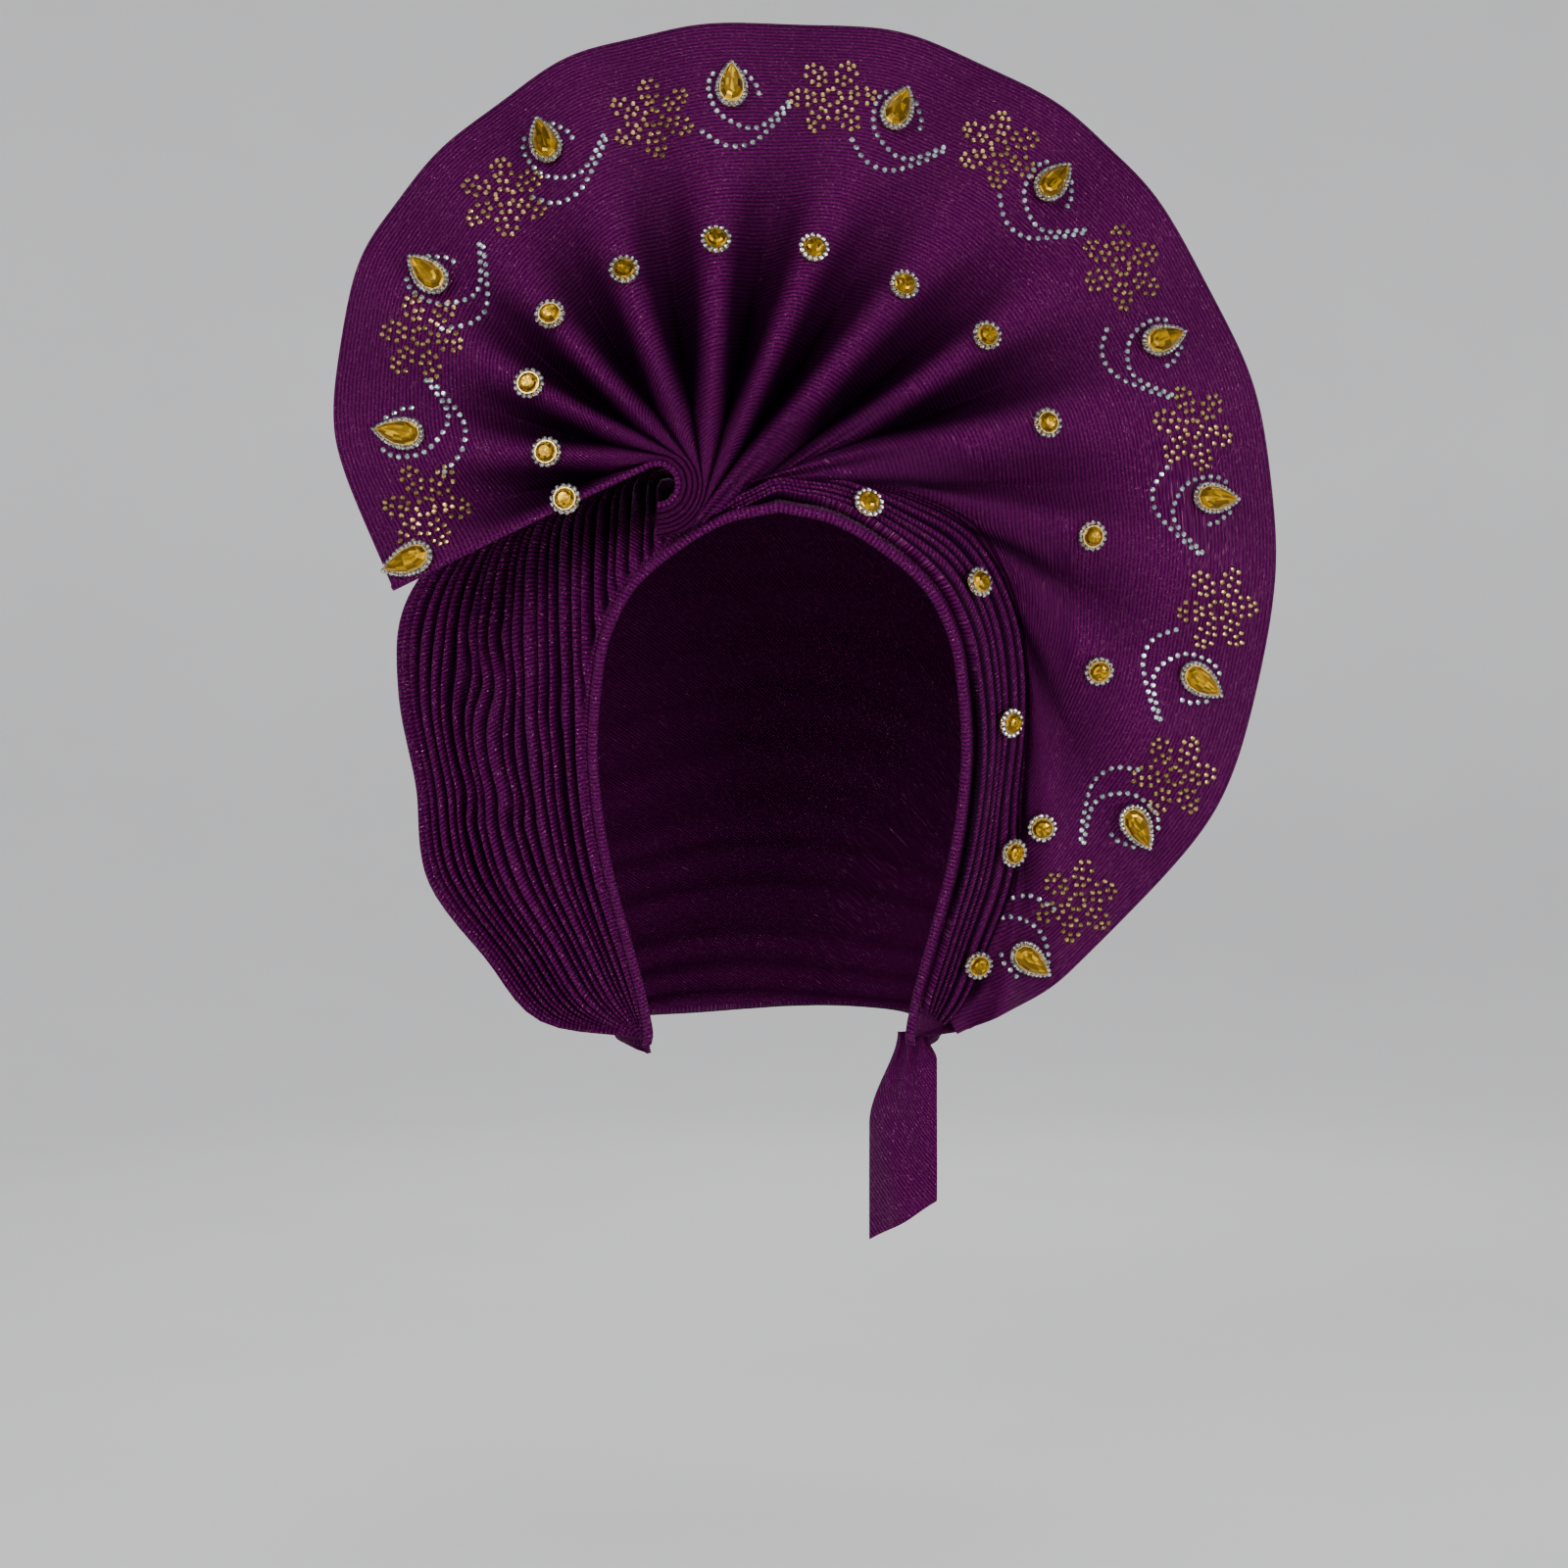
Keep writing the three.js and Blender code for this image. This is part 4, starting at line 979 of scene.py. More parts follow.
def cap_grid(form, sizes):
    """Shares across and side of the cap's grid, whose columns follow the pleats, and its pleat count.

    Columns of pleats that are still under the face band lie in a narrow strip along the cap's edge.
    """
    first = -CAP_EXTRA_PLEATS
    last = sizes.front_pleats + sizes.back_pleats
    front = np.linspace(first, sizes.front_pleats, (sizes.front_pleats - first) * CAP_SAMPLES_PER_PLEAT + 1)
    back = np.linspace(sizes.front_pleats, last, sizes.back_pleats * CAP_SAMPLES_PER_BACK_PLEAT + 1)[1:]
    pleat = np.concatenate([front, back])
    dense = np.linspace(-1, 1, 4000)
    weight = 1 + CAP_DENSER * window(dense, *CAP_DENSE_SIDES)
    walked = np.cumsum(weight)
    rows = np.interp(np.linspace(walked[0], walked[-1], CAP_ROWS), walked, dense)
    fine = np.linspace(0, 1, 600)
    side_fine, across_fine = np.meshgrid(rows, fine, indexing="ij")
    counted = np.maximum.accumulate(cap_pleats(form, sizes, across_fine, side_fine), axis=1)
    across = np.stack([np.interp(pleat, row, fine) for row in counted])
    at_edge = counted[:, :1]
    hidden = CAP_STRIP * (pleat - first) / (at_edge - first + 0.01)
    across = np.where(pleat < at_edge, hidden, CAP_STRIP + (1 - CAP_STRIP) * across)
    return across, np.broadcast_to(rows[:, None], across.shape), np.broadcast_to(pleat, across.shape)


def make_cap(sizes, colours):
    """The cap: hoops over shares across and side, lifted by rounded pleats that run along the grid."""
    form = HeadTieForm(sizes)
    across, side, pleat = cap_grid(form, sizes)
    gather = ease((1 - np.abs(side)) / CAP_GATHER_SPAN)
    behind = after(across, WIDEST, CAP_BACK_SPAN)
    uneven = sum(size * np.sin(rate * pleat + start) for size, rate, start in CAP_UNEVEN)
    drift = CAP_DRIFT * np.sin(9.5 * side + 0.3 * pleat) * gather * ease(across / 0.06)
    for at_across, at_side, shift, width, length in lines_of(CAP_KINKS):
        along = (side - at_side) / length
        drift = drift + shift * np.exp(-(((across - at_across) / width) ** 2)) * along * np.exp(-(along**2))
    crest = rounded(pleat + uneven + drift)
    covered = np.where(
        side > STACK_LINE["side"][0] - 0.1,
        before(across - read(STACK_LINE, "across", side), *CAP_COVER),
        0.0,
    )
    wider = (sizes.back_pleat_height - sizes.cap_pleat_height) * behind * CAP_BACK_SHARE
    height = sizes.cap_pleat_height + wider
    edge = after(across, CAP_STRIP, CAP_EDGE_SPAN)
    room = (CAP_GATHERED + (1 - CAP_GATHERED) * gather) * (1 - covered)
    lift = (height * crest - sizes.cap_groove * (1 - crest)) * room * edge
    outer = form.on_cap(across, side, lift)
    inner = form.on_cap(across, side, 0.5 * lift - sizes.cloth - 0.5 * sizes.cap_groove * room * edge)
    # Painted shade: the valleys between the cap's pleats are painted near black where the stack does not
    # cover them
    painted_light = 1 - VALLEY_PAINTED_SHADE * before(crest, *CAP_PAINTED_SHADE) * (1 - covered) * edge
    smooth = form.cap_point(across, side)
    u, v = lengths_along(smooth, 1), lengths_along(smooth, 0)
    piece = add_cloth(
        "pleated_cap_cloth", "pleated_cap", colours, outer, inner, u, v, painted_light, CAP_INSIDE_PAINTED_LIGHT
    )


def make_stack(sizes, colours):
    """The stack: a strip of the cap's surface under rounded pleats that run along its length."""
    form = HeadTieForm(sizes)
    side, over = np.meshgrid(
        np.linspace(STACK_START, STACK_LINE["side"][-1], STACK_ROWS),
        np.linspace(STACK_INNER_EDGE, 1, sizes.stack_pleats * STACK_SAMPLES_PER_PLEAT + 1),
        indexing="ij",
    )
    shown = STACK_FIRST_PLEATS + (sizes.stack_pleats - STACK_FIRST_PLEATS) * ease(side / 0.2)
    pleat = over * shown + 0.2 * np.sin(8 * side + 3 * over) + 0.12 * np.sin(2.3 * over * shown)
    crest = rounded(pleat)
    taper = after(side, STACK_START, STACK_END_SPAN)
    lift = sizes.stack_pleat_height * (1 - STACK_VALLEY * (1 - crest))
    height = (STACK_BASE * sizes.cloth + lift) * (0.1 + 0.9 * taper)
    outer = form.stack_point(over, side, height - STACK_END_SINK * (1 - taper))
    inner = form.stack_point(over, side, -STACK_UNDER_SINK * (1 - taper))
    # Painted shade: the valleys between the stack's pleats are painted near black
    painted_light = 1 - VALLEY_PAINTED_SHADE * before(crest, *STACK_PAINTED_SHADE)
    u, v = lengths_along(outer, 1), lengths_along(inner, 0)
    piece = add_cloth("side_pleats_cloth", "side_pleats", colours, outer, inner, u, v, painted_light)


def make_band(sizes, colours):
    """The face band: a round roll along the cap's face edge."""
    form = HeadTieForm(sizes)
    side = np.linspace(-1, 1, BAND_ROWS)
    zero = np.zeros_like(side)
    radius = sizes.band_radius
    centres = form.on_cap(zero, side, zero - sizes.cloth / 2, zero - radius - sizes.band_seat)
    piece = add_roll(
        "face_band_roll", colours, centres, form.cap_frame(zero, side), radius, BAND_SIDES,
        2 * math.pi * radius, lengths_along(centres, 0),
    )
    finish_piece(piece, "gele_cloth", "face_band")


def fan_grid(form, sizes):
    """The fan's front as a grid of points, with its ridge and out shares and how deep its fine pleats are."""
    steps = np.linspace(0, 1, FAN_ROWS)
    out, ridge = np.meshgrid(
        steps * (FAN_ROW_EVENNESS + (1 - FAN_ROW_EVENNESS) * steps),
        np.linspace(0, len(FOLDS["depth"]), len(FOLDS["depth"]) * FAN_SAMPLES_PER_FOLD + 1),
        indexing="ij",
    )
    front = form.fan_point(ridge, out)
    fine = (1 - rounded(FINE_PLEATS * ridge)) * window(ridge, *FINE_RIDGES) * before(out, *FINE_OUT)
    along = out / (SWEEP_REACH * (SWEEP_FIRST + (1 - SWEEP_FIRST) * after(ridge, *SWEEP_GROWTH)))
    shown = window(ridge, *SWEEP_RIDGES) * before(along, *SWEEP_END)
    fine = np.maximum(fine, (1 - rounded(SWEEP_PLEATS * along**0.8)) * shown)
    front[..., 1] += sizes.fine_pleat_depth * fine
    return front, ridge, out, fine


def make_fan(sizes, colours):
    """The fan: its front grid and the same grid one wall further back, ribs counted from the rim."""
    form = HeadTieForm(sizes)
    front, ridge, out, fine = fan_grid(form, sizes)
    back = front + np.array([0, sizes.fan_wall, 0])
    # Painted shade: dark in the deep folds near the throat, between the cords and in the fine pleats, less
    # towards the rim and beside the stack
    sunk = form.fold_depth(ridge, out) / sizes.fold_depth
    between = 1 - np.abs(2 * (ridge - np.floor(ridge)) - 1)
    towards_rim = 1 - RIM_PAINTED_SHADE_LOSS * after(out, *RIM_PAINTED_SHADE_LOSS_OUT)
    beside_stack = 1 - STACK_PAINTED_SHADE_LOSS * after(ridge, *STACK_PAINTED_SHADE_LOSS_RIDGE)
    deep = ease(sunk * FOLD_PAINTED_SHADE) * towards_rim * beside_stack
    cord_painted_shade = after(between, *CORD_PAINTED_SHADE_DEPTH) * before(out, *CORD_PAINTED_SHADE_OUT)
    painted_light = 1 - FAN_PAINTED_SHADE * np.maximum(np.maximum(deep, CORD_PAINTED_SHADE * cord_painted_shade), CORD_PAINTED_SHADE * fine)
    from_root = lengths_along(form.crest_point(ridge, out), 0)
    from_rim = from_root[-1:, :] - from_root
    piece = add_cloth("fan_cloth", "fan", colours, back, front, lengths_along(front, 1), from_rim, painted_light)
    hem_line = front[:, 0] + np.array([0, sizes.fan_wall / 2, 0])
    run = unit(np.gradient(hem_line, axis=0))
    across = unit(np.cross(run, np.broadcast_to(np.array([0.0, 1.0, 0.0]), run.shape)))
    hem = add_roll(
        "fan_hem_roll", colours, hem_line, (across, unit(np.cross(across, run))), sizes.hem_radius,
        HEM_SIDES, HEM_GIRTH, from_rim[:, 0],
    )
    finish_piece(hem, "gele_cloth")


def make_tail(sizes, colours):
    """The hanging end: a strip down from the right gather, turned round the neck and softly rippled."""
    down, over = np.meshgrid(np.linspace(0, 1, TAIL_ROWS), np.linspace(0, 1, TAIL_COLUMNS), indexing="ij")
    within = np.where(over < TAIL_KNOT_AT, TAIL_OUTER_SPREAD, TAIL_INNER_SPREAD)
    inward = TAIL_KNOT_AT + (over - TAIL_KNOT_AT) * (TAIL_KNOT + (1 - TAIL_KNOT) * ease(down / within))
    behind = 0.4 * sizes.nape_gather
    seat = 0.75 * sizes.nape_gather
    top = math.sqrt(sizes.nape_gather**2 - seat**2) - sizes.crown_height + TAIL_TUCK
    ripple = TAIL_RIPPLE * down * np.sin(2 * np.pi * (1.5 * inward + down))
    ripple = ripple + TAIL_FOLD * np.sin(2 * np.pi * TAIL_FOLDS * over) * (1 - ease(down / 0.5))
    middle = stacked(
        sizes.nape_half_width + sizes.nape_gather
        - sizes.tail_width * inward * math.cos(sizes.tail_turn),
        sizes.nape_set_back + behind + sizes.tail_width * inward**2 * math.sin(sizes.tail_turn) + ripple,
        top - down * (sizes.tail_length + TAIL_EXTRA + sizes.tail_slant * inward),
    )
    half = np.array([0, sizes.cloth / 2, 0])
    u = over * sizes.tail_width
    v = down * sizes.tail_length + 1.2 * u
    piece = add_cloth("tie_tail_cloth", "tie_tail", colours, middle + half, middle - half, u, v)


def outline(angle, length, width, pointed):
    """A brooch's outline: a circle, or a teardrop whose half width is the sine thinned towards its point."""
    narrow = 1.22 * np.sin(angle / 2) ** 0.8 if pointed else 1.0
    return stacked(width / 2 * narrow * np.sin(angle), length / 2 * np.cos(angle))


def ring_faces(lower, upper):
    """Quads between two closed rings of the same number of points."""
    nl, nu = np.roll(lower, -1), np.roll(upper, -1)
    return np.stack([lower, upper, nu, nl], axis=-1).tolist()


def brooch_parts(sizes, length, width, pointed, beads):
    """A brooch in its own frame: setting, stone with table and facets, and its ring of beads."""
    bead = sizes.bead_diameter
    points, faces, slots = [], [], []

    def add(new_points, new_faces, slot):
        start = sum(len(p) for p in points)
        points.append(np.asarray(new_points, float))
        faces.extend([[i + start for i in face] for face in new_faces])
        slots.extend([slot] * len(new_faces))

    def rings(profile, count, slot, peak=None):
        angle = 2 * np.pi * np.arange(count) / count
        layers = []
        for inset, height in profile:
            flat = outline(angle, length - 2 * inset, width - 2 * inset, pointed)
            layers.append(np.concatenate([flat, np.full((count, 1), height)], axis=1))
        index = np.arange(count * len(profile)).reshape(len(profile), count)
        new_faces = []
        for lower, upper in zip(index[:-1], index[1:]):
            new_faces.extend(ring_faces(lower, upper))
        new_faces.append(index[0].tolist())
        if peak is None:
            new_faces.append(index[-1][::-1].tolist())
        else:
            top_ring = index[-1]
            layers.append(np.array([[0.0, 0.0, peak]]))
            tips = (top_ring, np.full(count, index.size), np.roll(top_ring, -1))
            new_faces.extend(np.stack(tips, axis=-1).tolist())
        add(np.concatenate(layers), new_faces, slot)

    lip = 0.75 * bead
    stone = lip + 0.35 * MM
    top = sizes.brooch_height
    rings(((0.9 * MM, 0.0), (0.7 * MM, 0.5 * MM), (0.9 * MM, 0.9 * MM), (lip, 1.0 * MM)), 32, 1)
    rings(((lip + 0.2 * MM, 0.9 * MM), (lip, 1.8 * MM), (lip + 0.25 * MM, 2.5 * MM)), 32, 1)
    cut = (
        (stone + 0.1 * MM, 1.2 * MM),
        (stone, 2.4 * MM),
        (stone + 0.6 * MM, 2.9 * MM),
        (stone + 0.10 * width, top - 0.5 * MM),
        (stone + 0.17 * width, top - 0.1 * MM),
        (stone + 0.26 * width, top - 0.05 * MM),
    )
    rings(cut, 12, 0, top)

    line = outline(np.linspace(0, 2 * np.pi, 400), length - bead, width - bead, pointed)
    places = at_shares(line, np.arange(beads) / beads)
    ball, ball_faces = bead_shape(bead / 2)
    for centre in stacked(places[:, 0], places[:, 1], 1.55 * MM):
        add(ball + centre, ball_faces, 2)
    return np.concatenate(points), faces, slots


def bead_shape(radius):
    """A faceted bead: three rings of six points between two poles."""
    angle = 2 * np.pi * np.arange(6) / 6
    points = [[0, 0, -radius]]
    for level, turn in ((-0.5, 0), (0.1, 0.5), (0.65, 0)):
        wide = math.sqrt(1 - level * level) * radius
        shifted = angle + turn * np.pi / 3
        ring = stacked(wide * np.cos(shifted), wide * np.sin(shifted), level * radius)
        points += ring.tolist()
    points.append([0, 0, radius])
    faces = []
    for i in range(6):
        j = (i + 1) % 6
        faces.append([0, 1 + j, 1 + i])
        faces.append([1 + i, 1 + j, 7 + i])
        faces.append([1 + j, 7 + j, 7 + i])
        faces.append([7 + i, 7 + j, 13 + j])
        faces.append([7 + i, 13 + j, 13 + i])
        faces.append([13 + i, 13 + j, 19])
    return np.array(points), faces


def place_frame(normal, toward):
    """A right-handed frame from a normal and the direction that a brooch's point looks in."""
    normal = unit(normal)
    up = unit(toward - normal * np.sum(toward * normal))
    return np.stack([np.cross(up, normal), up, normal])


def seated(cloud, at, axes, length, width):
    """How far the cloth's points rise above a brooch's base within its footprint."""
    local = (cloud - at) @ axes.T
    under = (2 * local[:, 0] / width) ** 2 + (2 * local[:, 1] / length) ** 2 < 1
    near = under & (np.abs(local[:, 2]) < length)
    return max(0.0, local[near, 2].max()) if near.any() else 0.0


def turned(axes, degrees):
    """A frame turned about its own normal, anticlockwise as its front is seen."""
    c, s = math.cos(math.radians(degrees)), math.sin(math.radians(degrees))
    return np.stack([axes[0] * c + axes[1] * s, axes[1] * c - axes[0] * s, axes[2]])


def fan_frame(form, ridge, out):
    """A point of the fan and the frame of its large form there, its second axis towards the rim."""
    ridge, out = np.array(float(ridge)), np.array(float(out))
    at = form.fan_point(ridge, out)
    to_rim = form.crest_point(ridge, out + 0.04) - form.crest_point(ridge, out - 0.04)
    aside = form.crest_point(ridge + 0.2, out) - form.crest_point(ridge - 0.2, out)
    normal = np.cross(aside, to_rim)
    return at, place_frame(normal if normal[1] < 0 else -normal, to_rim)


def stack_frame(form, side, over, lift):
    """A point of the stack and a frame that leans to the front there, its second axis along the stack."""
    side, over = np.array(side), np.array(over)
    along = form.stack_point(over, side + 0.02, lift) - form.stack_point(over, side - 0.02, lift)
    aside = form.stack_point(over + 0.2, side, lift) - form.stack_point(over - 0.2, side, lift)
    normal = unit(np.cross(aside, along))
    normal = (normal if normal[1] < 0 else -normal) - np.array([0, STACK_ROUND_TILT, 0])
    return form.stack_point(over, side, lift), place_frame(normal, along)


def make_brooches(sizes, colours):
    """Each brooch: its parts moved to its seat on the cloth, along the cloth's large form."""
    form = HeadTieForm(sizes)
    finishes = [
        shared("amber_look", facet_material, tuple(colours.amber), *AMBER_CUT),
        shared("setting_look", metal_material, tuple(colours.gold)),
        shared("bead_look", facet_material, tuple(colours.clear), *BEAD_CUT),
    ]
    lift = sizes.cloth + sizes.stack_pleat_height
    side, over = np.meshgrid(
        np.linspace(STACK_START, STACK_LINE["side"][-1], 400), np.linspace(0, 1, 120), indexing="ij"
    )
    fan_cloud = fan_grid(form, sizes)[0].reshape(-1, 3)
    stack_cloud = form.stack_point(over, side, lift).reshape(-1, 3)
    teardrop = (sizes.teardrop_length, sizes.teardrop_width, True, TEARDROP_BEADS)
    circle = (sizes.round_diameter, sizes.round_diameter, False, ROUND_BEADS)
    on_fan = [fan_frame(form, ridge, out) for ridge, out in lines_of(FAN_ROUNDS)]
    on_stack = [stack_frame(form, side, over, lift) for side, over in lines_of(STACK_ROUNDS)]
    drops = []
    for ridge, out, turn, _ in lines_of(TEARDROPS):
        at, axes = fan_frame(form, ridge, out)
        drops.append((at, turned(axes, turn)))
    groups = (
        ("teardrop_brooch", 1, drops, fan_cloud, teardrop),
        ("round_brooch", 1, on_fan, fan_cloud, circle),
        ("round_brooch", 1 + len(on_fan), on_stack, stack_cloud, circle),
    )
    seed = 0
    for name, first, places, cloud, (length, width, pointed, beads) in groups:
        local, faces, slots = brooch_parts(sizes, length, width, pointed, beads)
        for k, (at, axes) in enumerate(places, first):
            node = f"{name}_{k:02d}"
            seat = seated(cloud, at, axes, length, width) + BROOCH_GAP
            points = local @ axes + at + axes[2] * seat
            piece = add_piece(f"{node}_stone", points, faces, finishes, slots, smooth=False)
            add_painted_reflections(piece, seed)
            finish_piece(piece, "amber_stone", node)
            seed += 1


def flower_stones(turn):
    """Places of a flower's stones in millimetres: a small ring and loops for its petals round it."""
    places = []
    for i in range(LOOP_STONES):
        a = 2 * math.pi * i / LOOP_STONES
        places.append((HEART_RADIUS * math.cos(a), HEART_RADIUS * math.sin(a)))
    for petal in range(PETALS):
        middle = math.radians(turn) + 2 * math.pi * petal / PETALS
        local = []
        for i in range(LOOP_STONES):
            a = middle + 2 * math.pi * (i + 0.5) / LOOP_STONES
            local.append((PETAL_AT + PETAL_HALF_LENGTH * math.cos(a - middle),
                          PETAL_HALF_WIDTH * math.sin(a - middle)))
        for r, aside in local + [(r, 0.0) for r in PETAL_INSIDE]:
            places.append((
                r * math.cos(middle) - aside * math.sin(middle),
                r * math.sin(middle) + aside * math.cos(middle),
            ))
    astray = np.random.default_rng(int(turn) + 7).uniform(-ASTRAY, ASTRAY, (len(places), 2))
    return np.array(places) + astray


def spaced(count, keys):
    """Evenly spaced places along a smooth line through a few key points."""
    keys = np.array(keys)
    t = np.linspace(0, len(keys) - 1, 400)
    i = np.minimum(t.astype(int), len(keys) - 2)
    near = [keys[np.clip(i + step, 0, len(keys) - 1)] for step in (-1, 0, 1, 2)]
    return at_shares(through(*near, (t - i)[:, None]), np.linspace(0, 1, count))


def hotfix_shape(radius):
    """A small flat-backed stone: a low eight-sided skirt, sloping facets and a table."""
    angle = 2 * np.pi * np.arange(8) / 8
    rings = []
    for wide, height in ((1.0, -0.2), (1.0, 0.25), (0.55, 0.75)):
        rings.append(stacked(wide * radius * np.cos(angle), wide * radius * np.sin(angle), height * radius))
    index = np.arange(24).reshape(3, 8)
    faces = []
    for lower, upper in zip(index[:-1], index[1:]):
        turned_lower, turned_upper = np.roll(lower, -1), np.roll(upper, -1)
        faces += np.stack([lower, turned_lower, turned_upper, upper], axis=-1).tolist()
    faces += [index[2].tolist(), index[0][::-1].tolist()]
    return np.concatenate(rings), faces


def lay_stones(name, sizes, material, slot, targets, grid, seed):
    """Small stones set on the fan at places of the front view, each turned to the cloth under it."""
    flat = grid.reshape(-1, 3)
    down = np.cross(np.gradient(grid, axis=0), np.gradient(grid, axis=1)).reshape(-1, 3)
    normals = unit(np.where(down[:, 1:2] > 0, -down, down))
    points, faces = [], []
    stone, stone_faces = hotfix_shape(sizes.hotfix_diameter / 2)
    for x, z in targets:
        gap = (flat[:, 0] - x) ** 2 + (flat[:, 2] - z) ** 2
        nearest = int(np.argmin(gap))
        normal = normals[nearest]
        offset = np.array([x - flat[nearest, 0], 0.0, z - flat[nearest, 2]])
        offset[1] = -(normal[0] * offset[0] + normal[2] * offset[2]) / normal[1]
        axes = place_frame(normal, np.array([0.0, 0.0, 1.0]))
        start = sum(len(p) for p in points)
        points.append(stone @ axes + flat[nearest] + offset + normal * 0.25 * MM)
        faces.extend([[i + start for i in face] for face in stone_faces])
    piece = add_piece(name, np.concatenate(points), faces, [material], smooth=False)
    add_painted_reflections(piece, seed)
    finish_piece(piece, slot)


def make_hotfix(sizes, colours):
    """Gold stone flowers between the teardrops and silver stone swirls round them, on the fan's front."""
    form = HeadTieForm(sizes)
    grid = fan_grid(form, sizes)[0]
    gold = shared("gold_stone_look", facet_material, tuple(colours.gold_stone), *GOLD_STONE_CUT)
    silver = shared("silver_stone_look", facet_material, tuple(colours.silver_stone), *SILVER_STONE_CUT)
    gold_places, silver_places = [], []
    for ridge, out, turn in lines_of(FLOWERS):
        gold_places.append(local_places(*fan_frame(form, ridge, out), flower_stones(turn)))
    for ridge, out, _, swirl in lines_of(TEARDROPS):
        for count, keys in SWIRL_LINES if swirl else ():
            silver_places.append(local_places(*fan_frame(form, ridge, out), spaced(count, keys)))
    for name, material, slot, places, seed in (
        ("gold_stone_flowers", gold, "gold_hotfix", gold_places, 101),
        ("silver_stone_swirls", silver, "silver_hotfix", silver_places, 202),
    ):
        lay_stones(name, sizes, material, slot, np.concatenate(places), grid, seed)


def local_places(at, axes, places):
    """Front-view places from millimetres outwards to the rim and clockwise along it."""
    outwards = unit(np.array([axes[1][0], axes[1][2]]))
    clockwise = np.array([outwards[1], -outwards[0]])
    moved = places[:, :1] * outwards + places[:, 1:] * clockwise
    return np.array([at[0], at[2]]) + moved * MM


def make_stage():
    """A pale round floor that curves up into a wall on all sides, soft lights and the camera at the front."""
    angle = np.linspace(0, np.pi / 2, 16)
    reach = np.concatenate([[0.0001, 0.8], WALL - FILLET + FILLET * np.sin(angle), [WALL]])
    height = np.concatenate([[FLOOR, FLOOR], FLOOR + FILLET - FILLET * np.cos(angle), [WALL_TOP]])
    about = np.arange(STAGE_SIDES) * 2 * np.pi / STAGE_SIDES
    points = stacked(
        np.outer(reach, np.cos(about)), np.outer(reach, np.sin(about)), height[:, None]
    ).reshape(-1, 3)
    index = np.arange(len(reach) * STAGE_SIDES).reshape(len(reach), STAGE_SIDES)
    following = np.roll(index, -1, axis=1)
    faces = np.stack([index[:-1], following[:-1], following[1:], index[1:]], axis=-1).reshape(-1, 4)
    n = Nodes("backdrop")
    noise = n.noise(n.add("ShaderNodeTexCoord").outputs["Object"], 6.0)
    n.set(
        Base_Color=n.mix(noise, (0.80, 0.80, 0.81), (0.86, 0.86, 0.865)),
        Roughness=0.9,
        Emission_Color=(0.9, 0.9, 0.92, 1.0),
        Emission_Strength=0.1,
    )
    add_piece("backdrop", points, faces, [n.material])

    world = bpy.data.worlds.new("studio")
    bpy.context.scene.world = world
    world.use_nodes = True
    world.node_tree.nodes["Background"].inputs[0].default_value = (0.9, 0.93, 1.0, 1.0)
    world.node_tree.nodes["Background"].inputs[1].default_value = 0.1
    for name, place, size, power in LIGHTS:
        lamp = bpy.data.lights.new(name, "AREA")
        lamp.shape = "SQUARE"
        lamp.size = size
        lamp.energy = power
        lamp.spread = LIGHT_SPREAD
        aim = LIGHT_AIM - np.array(place)
        slope = math.atan2(math.hypot(aim[0], aim[1]), -aim[2])
        holder = add_holder(name, lamp, place, (slope, 0.0, math.atan2(-aim[0], aim[1])))
        holder.visible_camera = False

    camera = bpy.data.cameras.new("camera")
    camera.sensor_width = SENSOR
    camera.lens = SENSOR * FOCAL_PIXELS / PICTURE_PIXELS
    bpy.context.scene.camera = add_holder("camera", camera, CAMERA_PLACE, (math.pi / 2, 0.0, 0.0))


def add_holder(name, data, place, turn):
    """An object at a place that holds a lamp or a camera."""
    holder = bpy.data.objects.new(name, data)
    bpy.context.scene.collection.objects.link(holder)
    holder.location = place
    holder.rotation_euler = turn
    return holder


class GELE_OT_stage(bpy.types.Operator):
    """Add the pale floor, the soft lights and the camera"""

    bl_idname = "gele.stage"
    bl_label = "Stage"

    def execute(self, context):
        make_stage()
        return {"FINISHED"}


class GELE_OT_cap(bpy.types.Operator):
    """Add the pleated cap"""

    bl_idname = "gele.cap"
    bl_label = "Pleated cap"

    def execute(self, context):
        make_cap(context.scene.gele_sizes, context.scene.gele_colours)
        return {"FINISHED"}


class GELE_OT_stack(bpy.types.Operator):
    """Add the stack of pleats beside the face opening"""

    bl_idname = "gele.stack"
    bl_label = "Side pleats"

    def execute(self, context):
        make_stack(context.scene.gele_sizes, context.scene.gele_colours)
        return {"FINISHED"}


class GELE_OT_band(bpy.types.Operator):
    """Add the rolled face band"""

    bl_idname = "gele.band"
    bl_label = "Face band"

    def execute(self, context):
        make_band(context.scene.gele_sizes, context.scene.gele_colours)
        return {"FINISHED"}


class GELE_OT_fan(bpy.types.Operator):
    """Add the pleated fan and its rolled hem"""

    bl_idname = "gele.fan"
    bl_label = "Fan"

    def execute(self, context):
        make_fan(context.scene.gele_sizes, context.scene.gele_colours)
        return {"FINISHED"}


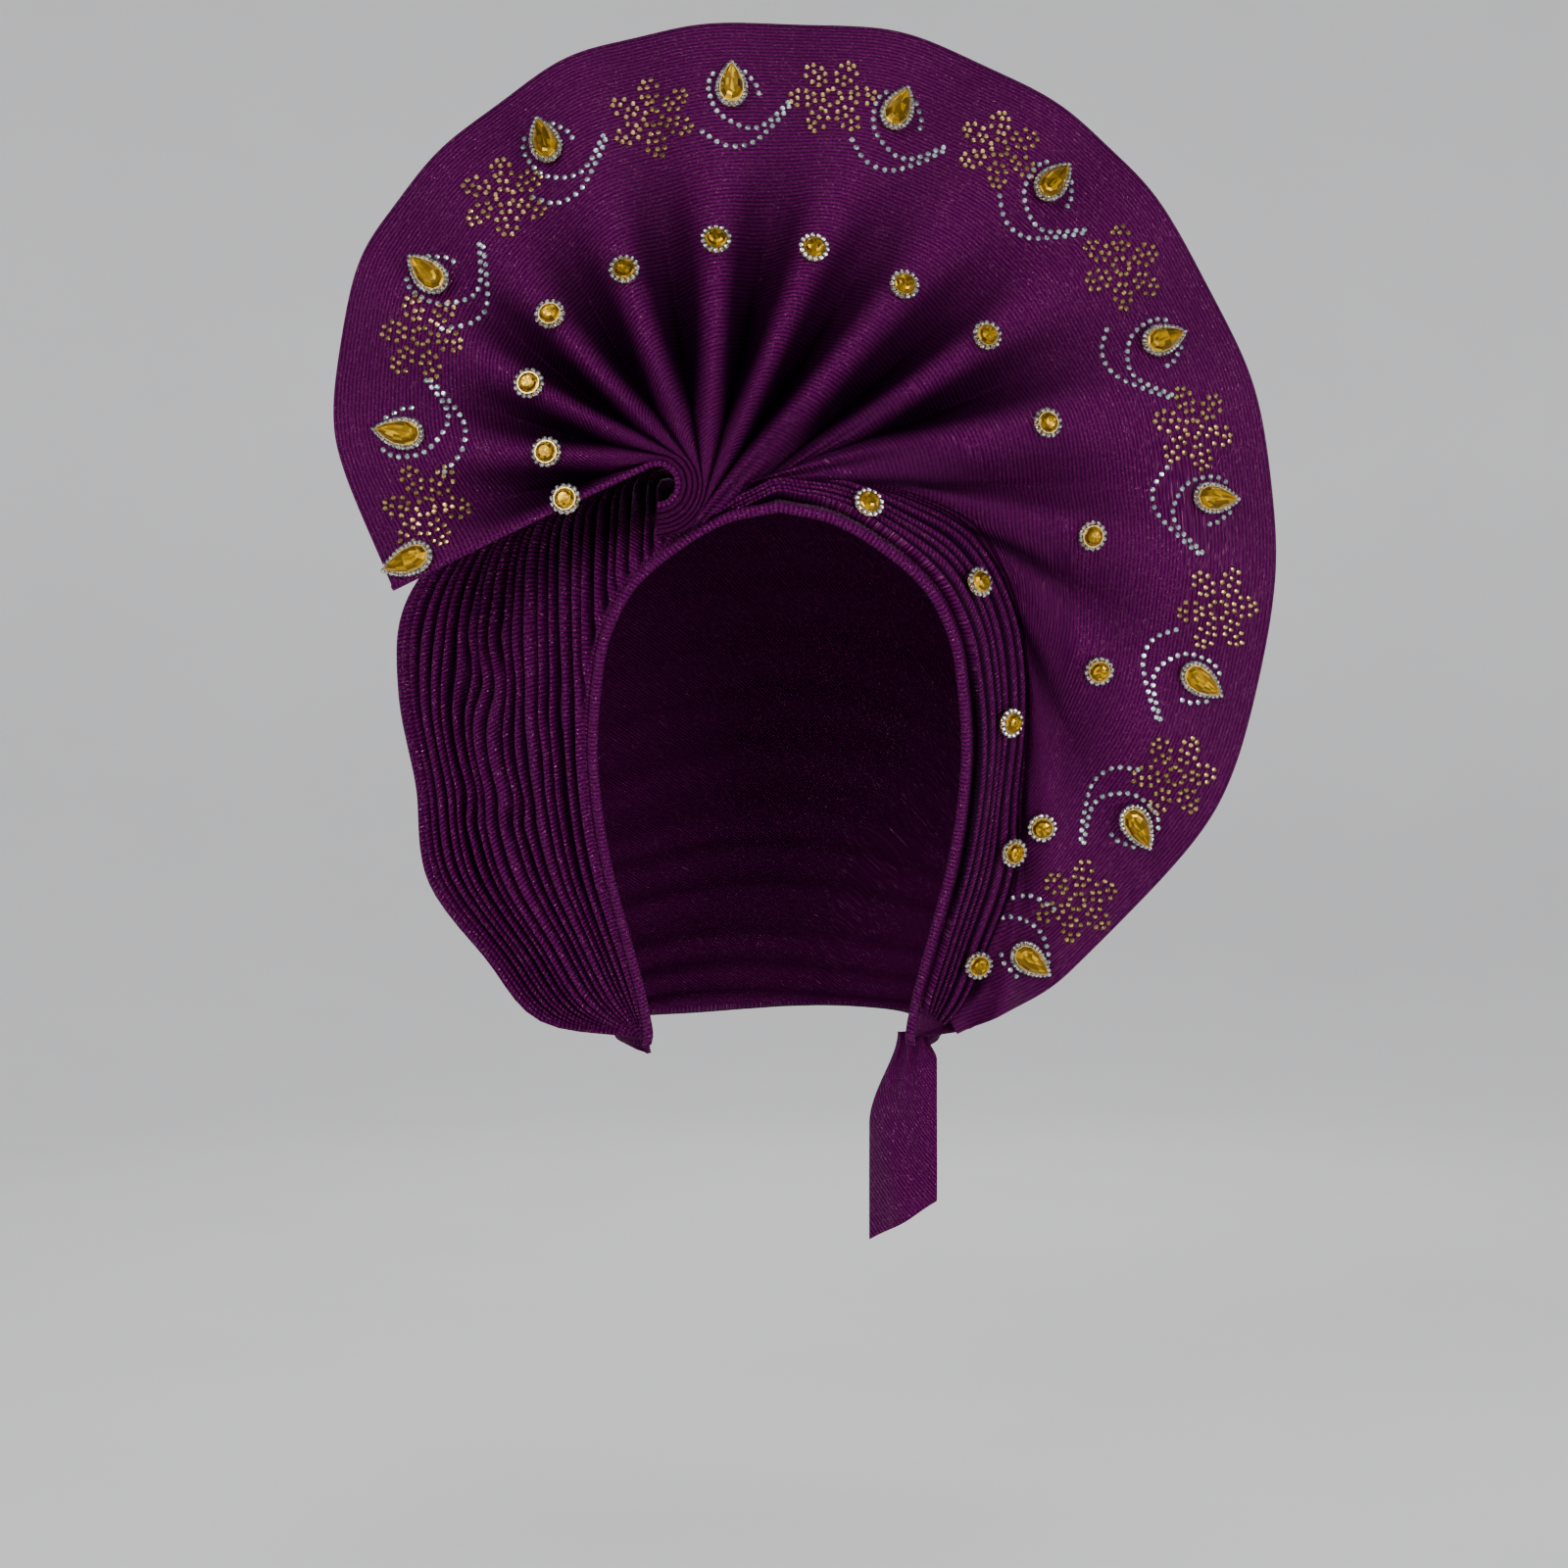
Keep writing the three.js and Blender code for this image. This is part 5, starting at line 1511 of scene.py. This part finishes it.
class GELE_OT_tail(bpy.types.Operator):
    """Add the hanging end of the tie"""

    bl_idname = "gele.tail"
    bl_label = "Tie tail"

    def execute(self, context):
        make_tail(context.scene.gele_sizes, context.scene.gele_colours)
        return {"FINISHED"}


class GELE_OT_brooches(bpy.types.Operator):
    """Add the teardrop and round brooches"""

    bl_idname = "gele.brooches"
    bl_label = "Brooches"

    def execute(self, context):
        make_brooches(context.scene.gele_sizes, context.scene.gele_colours)
        return {"FINISHED"}


class GELE_OT_hotfix(bpy.types.Operator):
    """Add the small gold and silver stones"""

    bl_idname = "gele.hotfix"
    bl_label = "Small stones"

    def execute(self, context):
        make_hotfix(context.scene.gele_sizes, context.scene.gele_colours)
        return {"FINISHED"}


class GELE_PT_panel(bpy.types.Panel):
    """Sidebar panel with the head tie's sizes, colours and pieces"""

    bl_idname = "GELE_PT_panel"
    bl_label = "Gele head tie"
    bl_space_type = "VIEW_3D"
    bl_region_type = "UI"
    bl_category = "Gele"

    def draw(self, context):
        for group in (context.scene.gele_sizes, context.scene.gele_colours):
            for name in group.__annotations__:
                self.layout.prop(group, name)
        for operator in OPERATORS:
            self.layout.operator(operator.bl_idname)


OPERATORS = (
    GELE_OT_stage,
    GELE_OT_cap,
    GELE_OT_stack,
    GELE_OT_band,
    GELE_OT_fan,
    GELE_OT_tail,
    GELE_OT_brooches,
    GELE_OT_hotfix,
)
CLASSES = (GeleSizes, GeleColours, *OPERATORS, GELE_PT_panel)


def register():
    """Register the classes and hang the property groups on the scene."""
    for cls in CLASSES:
        bpy.utils.register_class(cls)
    bpy.types.Scene.gele_sizes = PointerProperty(type=GeleSizes)
    bpy.types.Scene.gele_colours = PointerProperty(type=GeleColours)


def unregister():
    """Take the property groups and the classes away again."""
    del bpy.types.Scene.gele_colours
    del bpy.types.Scene.gele_sizes
    for cls in reversed(CLASSES):
        bpy.utils.unregister_class(cls)


def main():
    """Build the stage and every piece."""
    register()
    for operator in OPERATORS:
        group, name = operator.bl_idname.split(".")
        getattr(getattr(bpy.ops, group), name)()


if __name__ == "__main__":
    main()
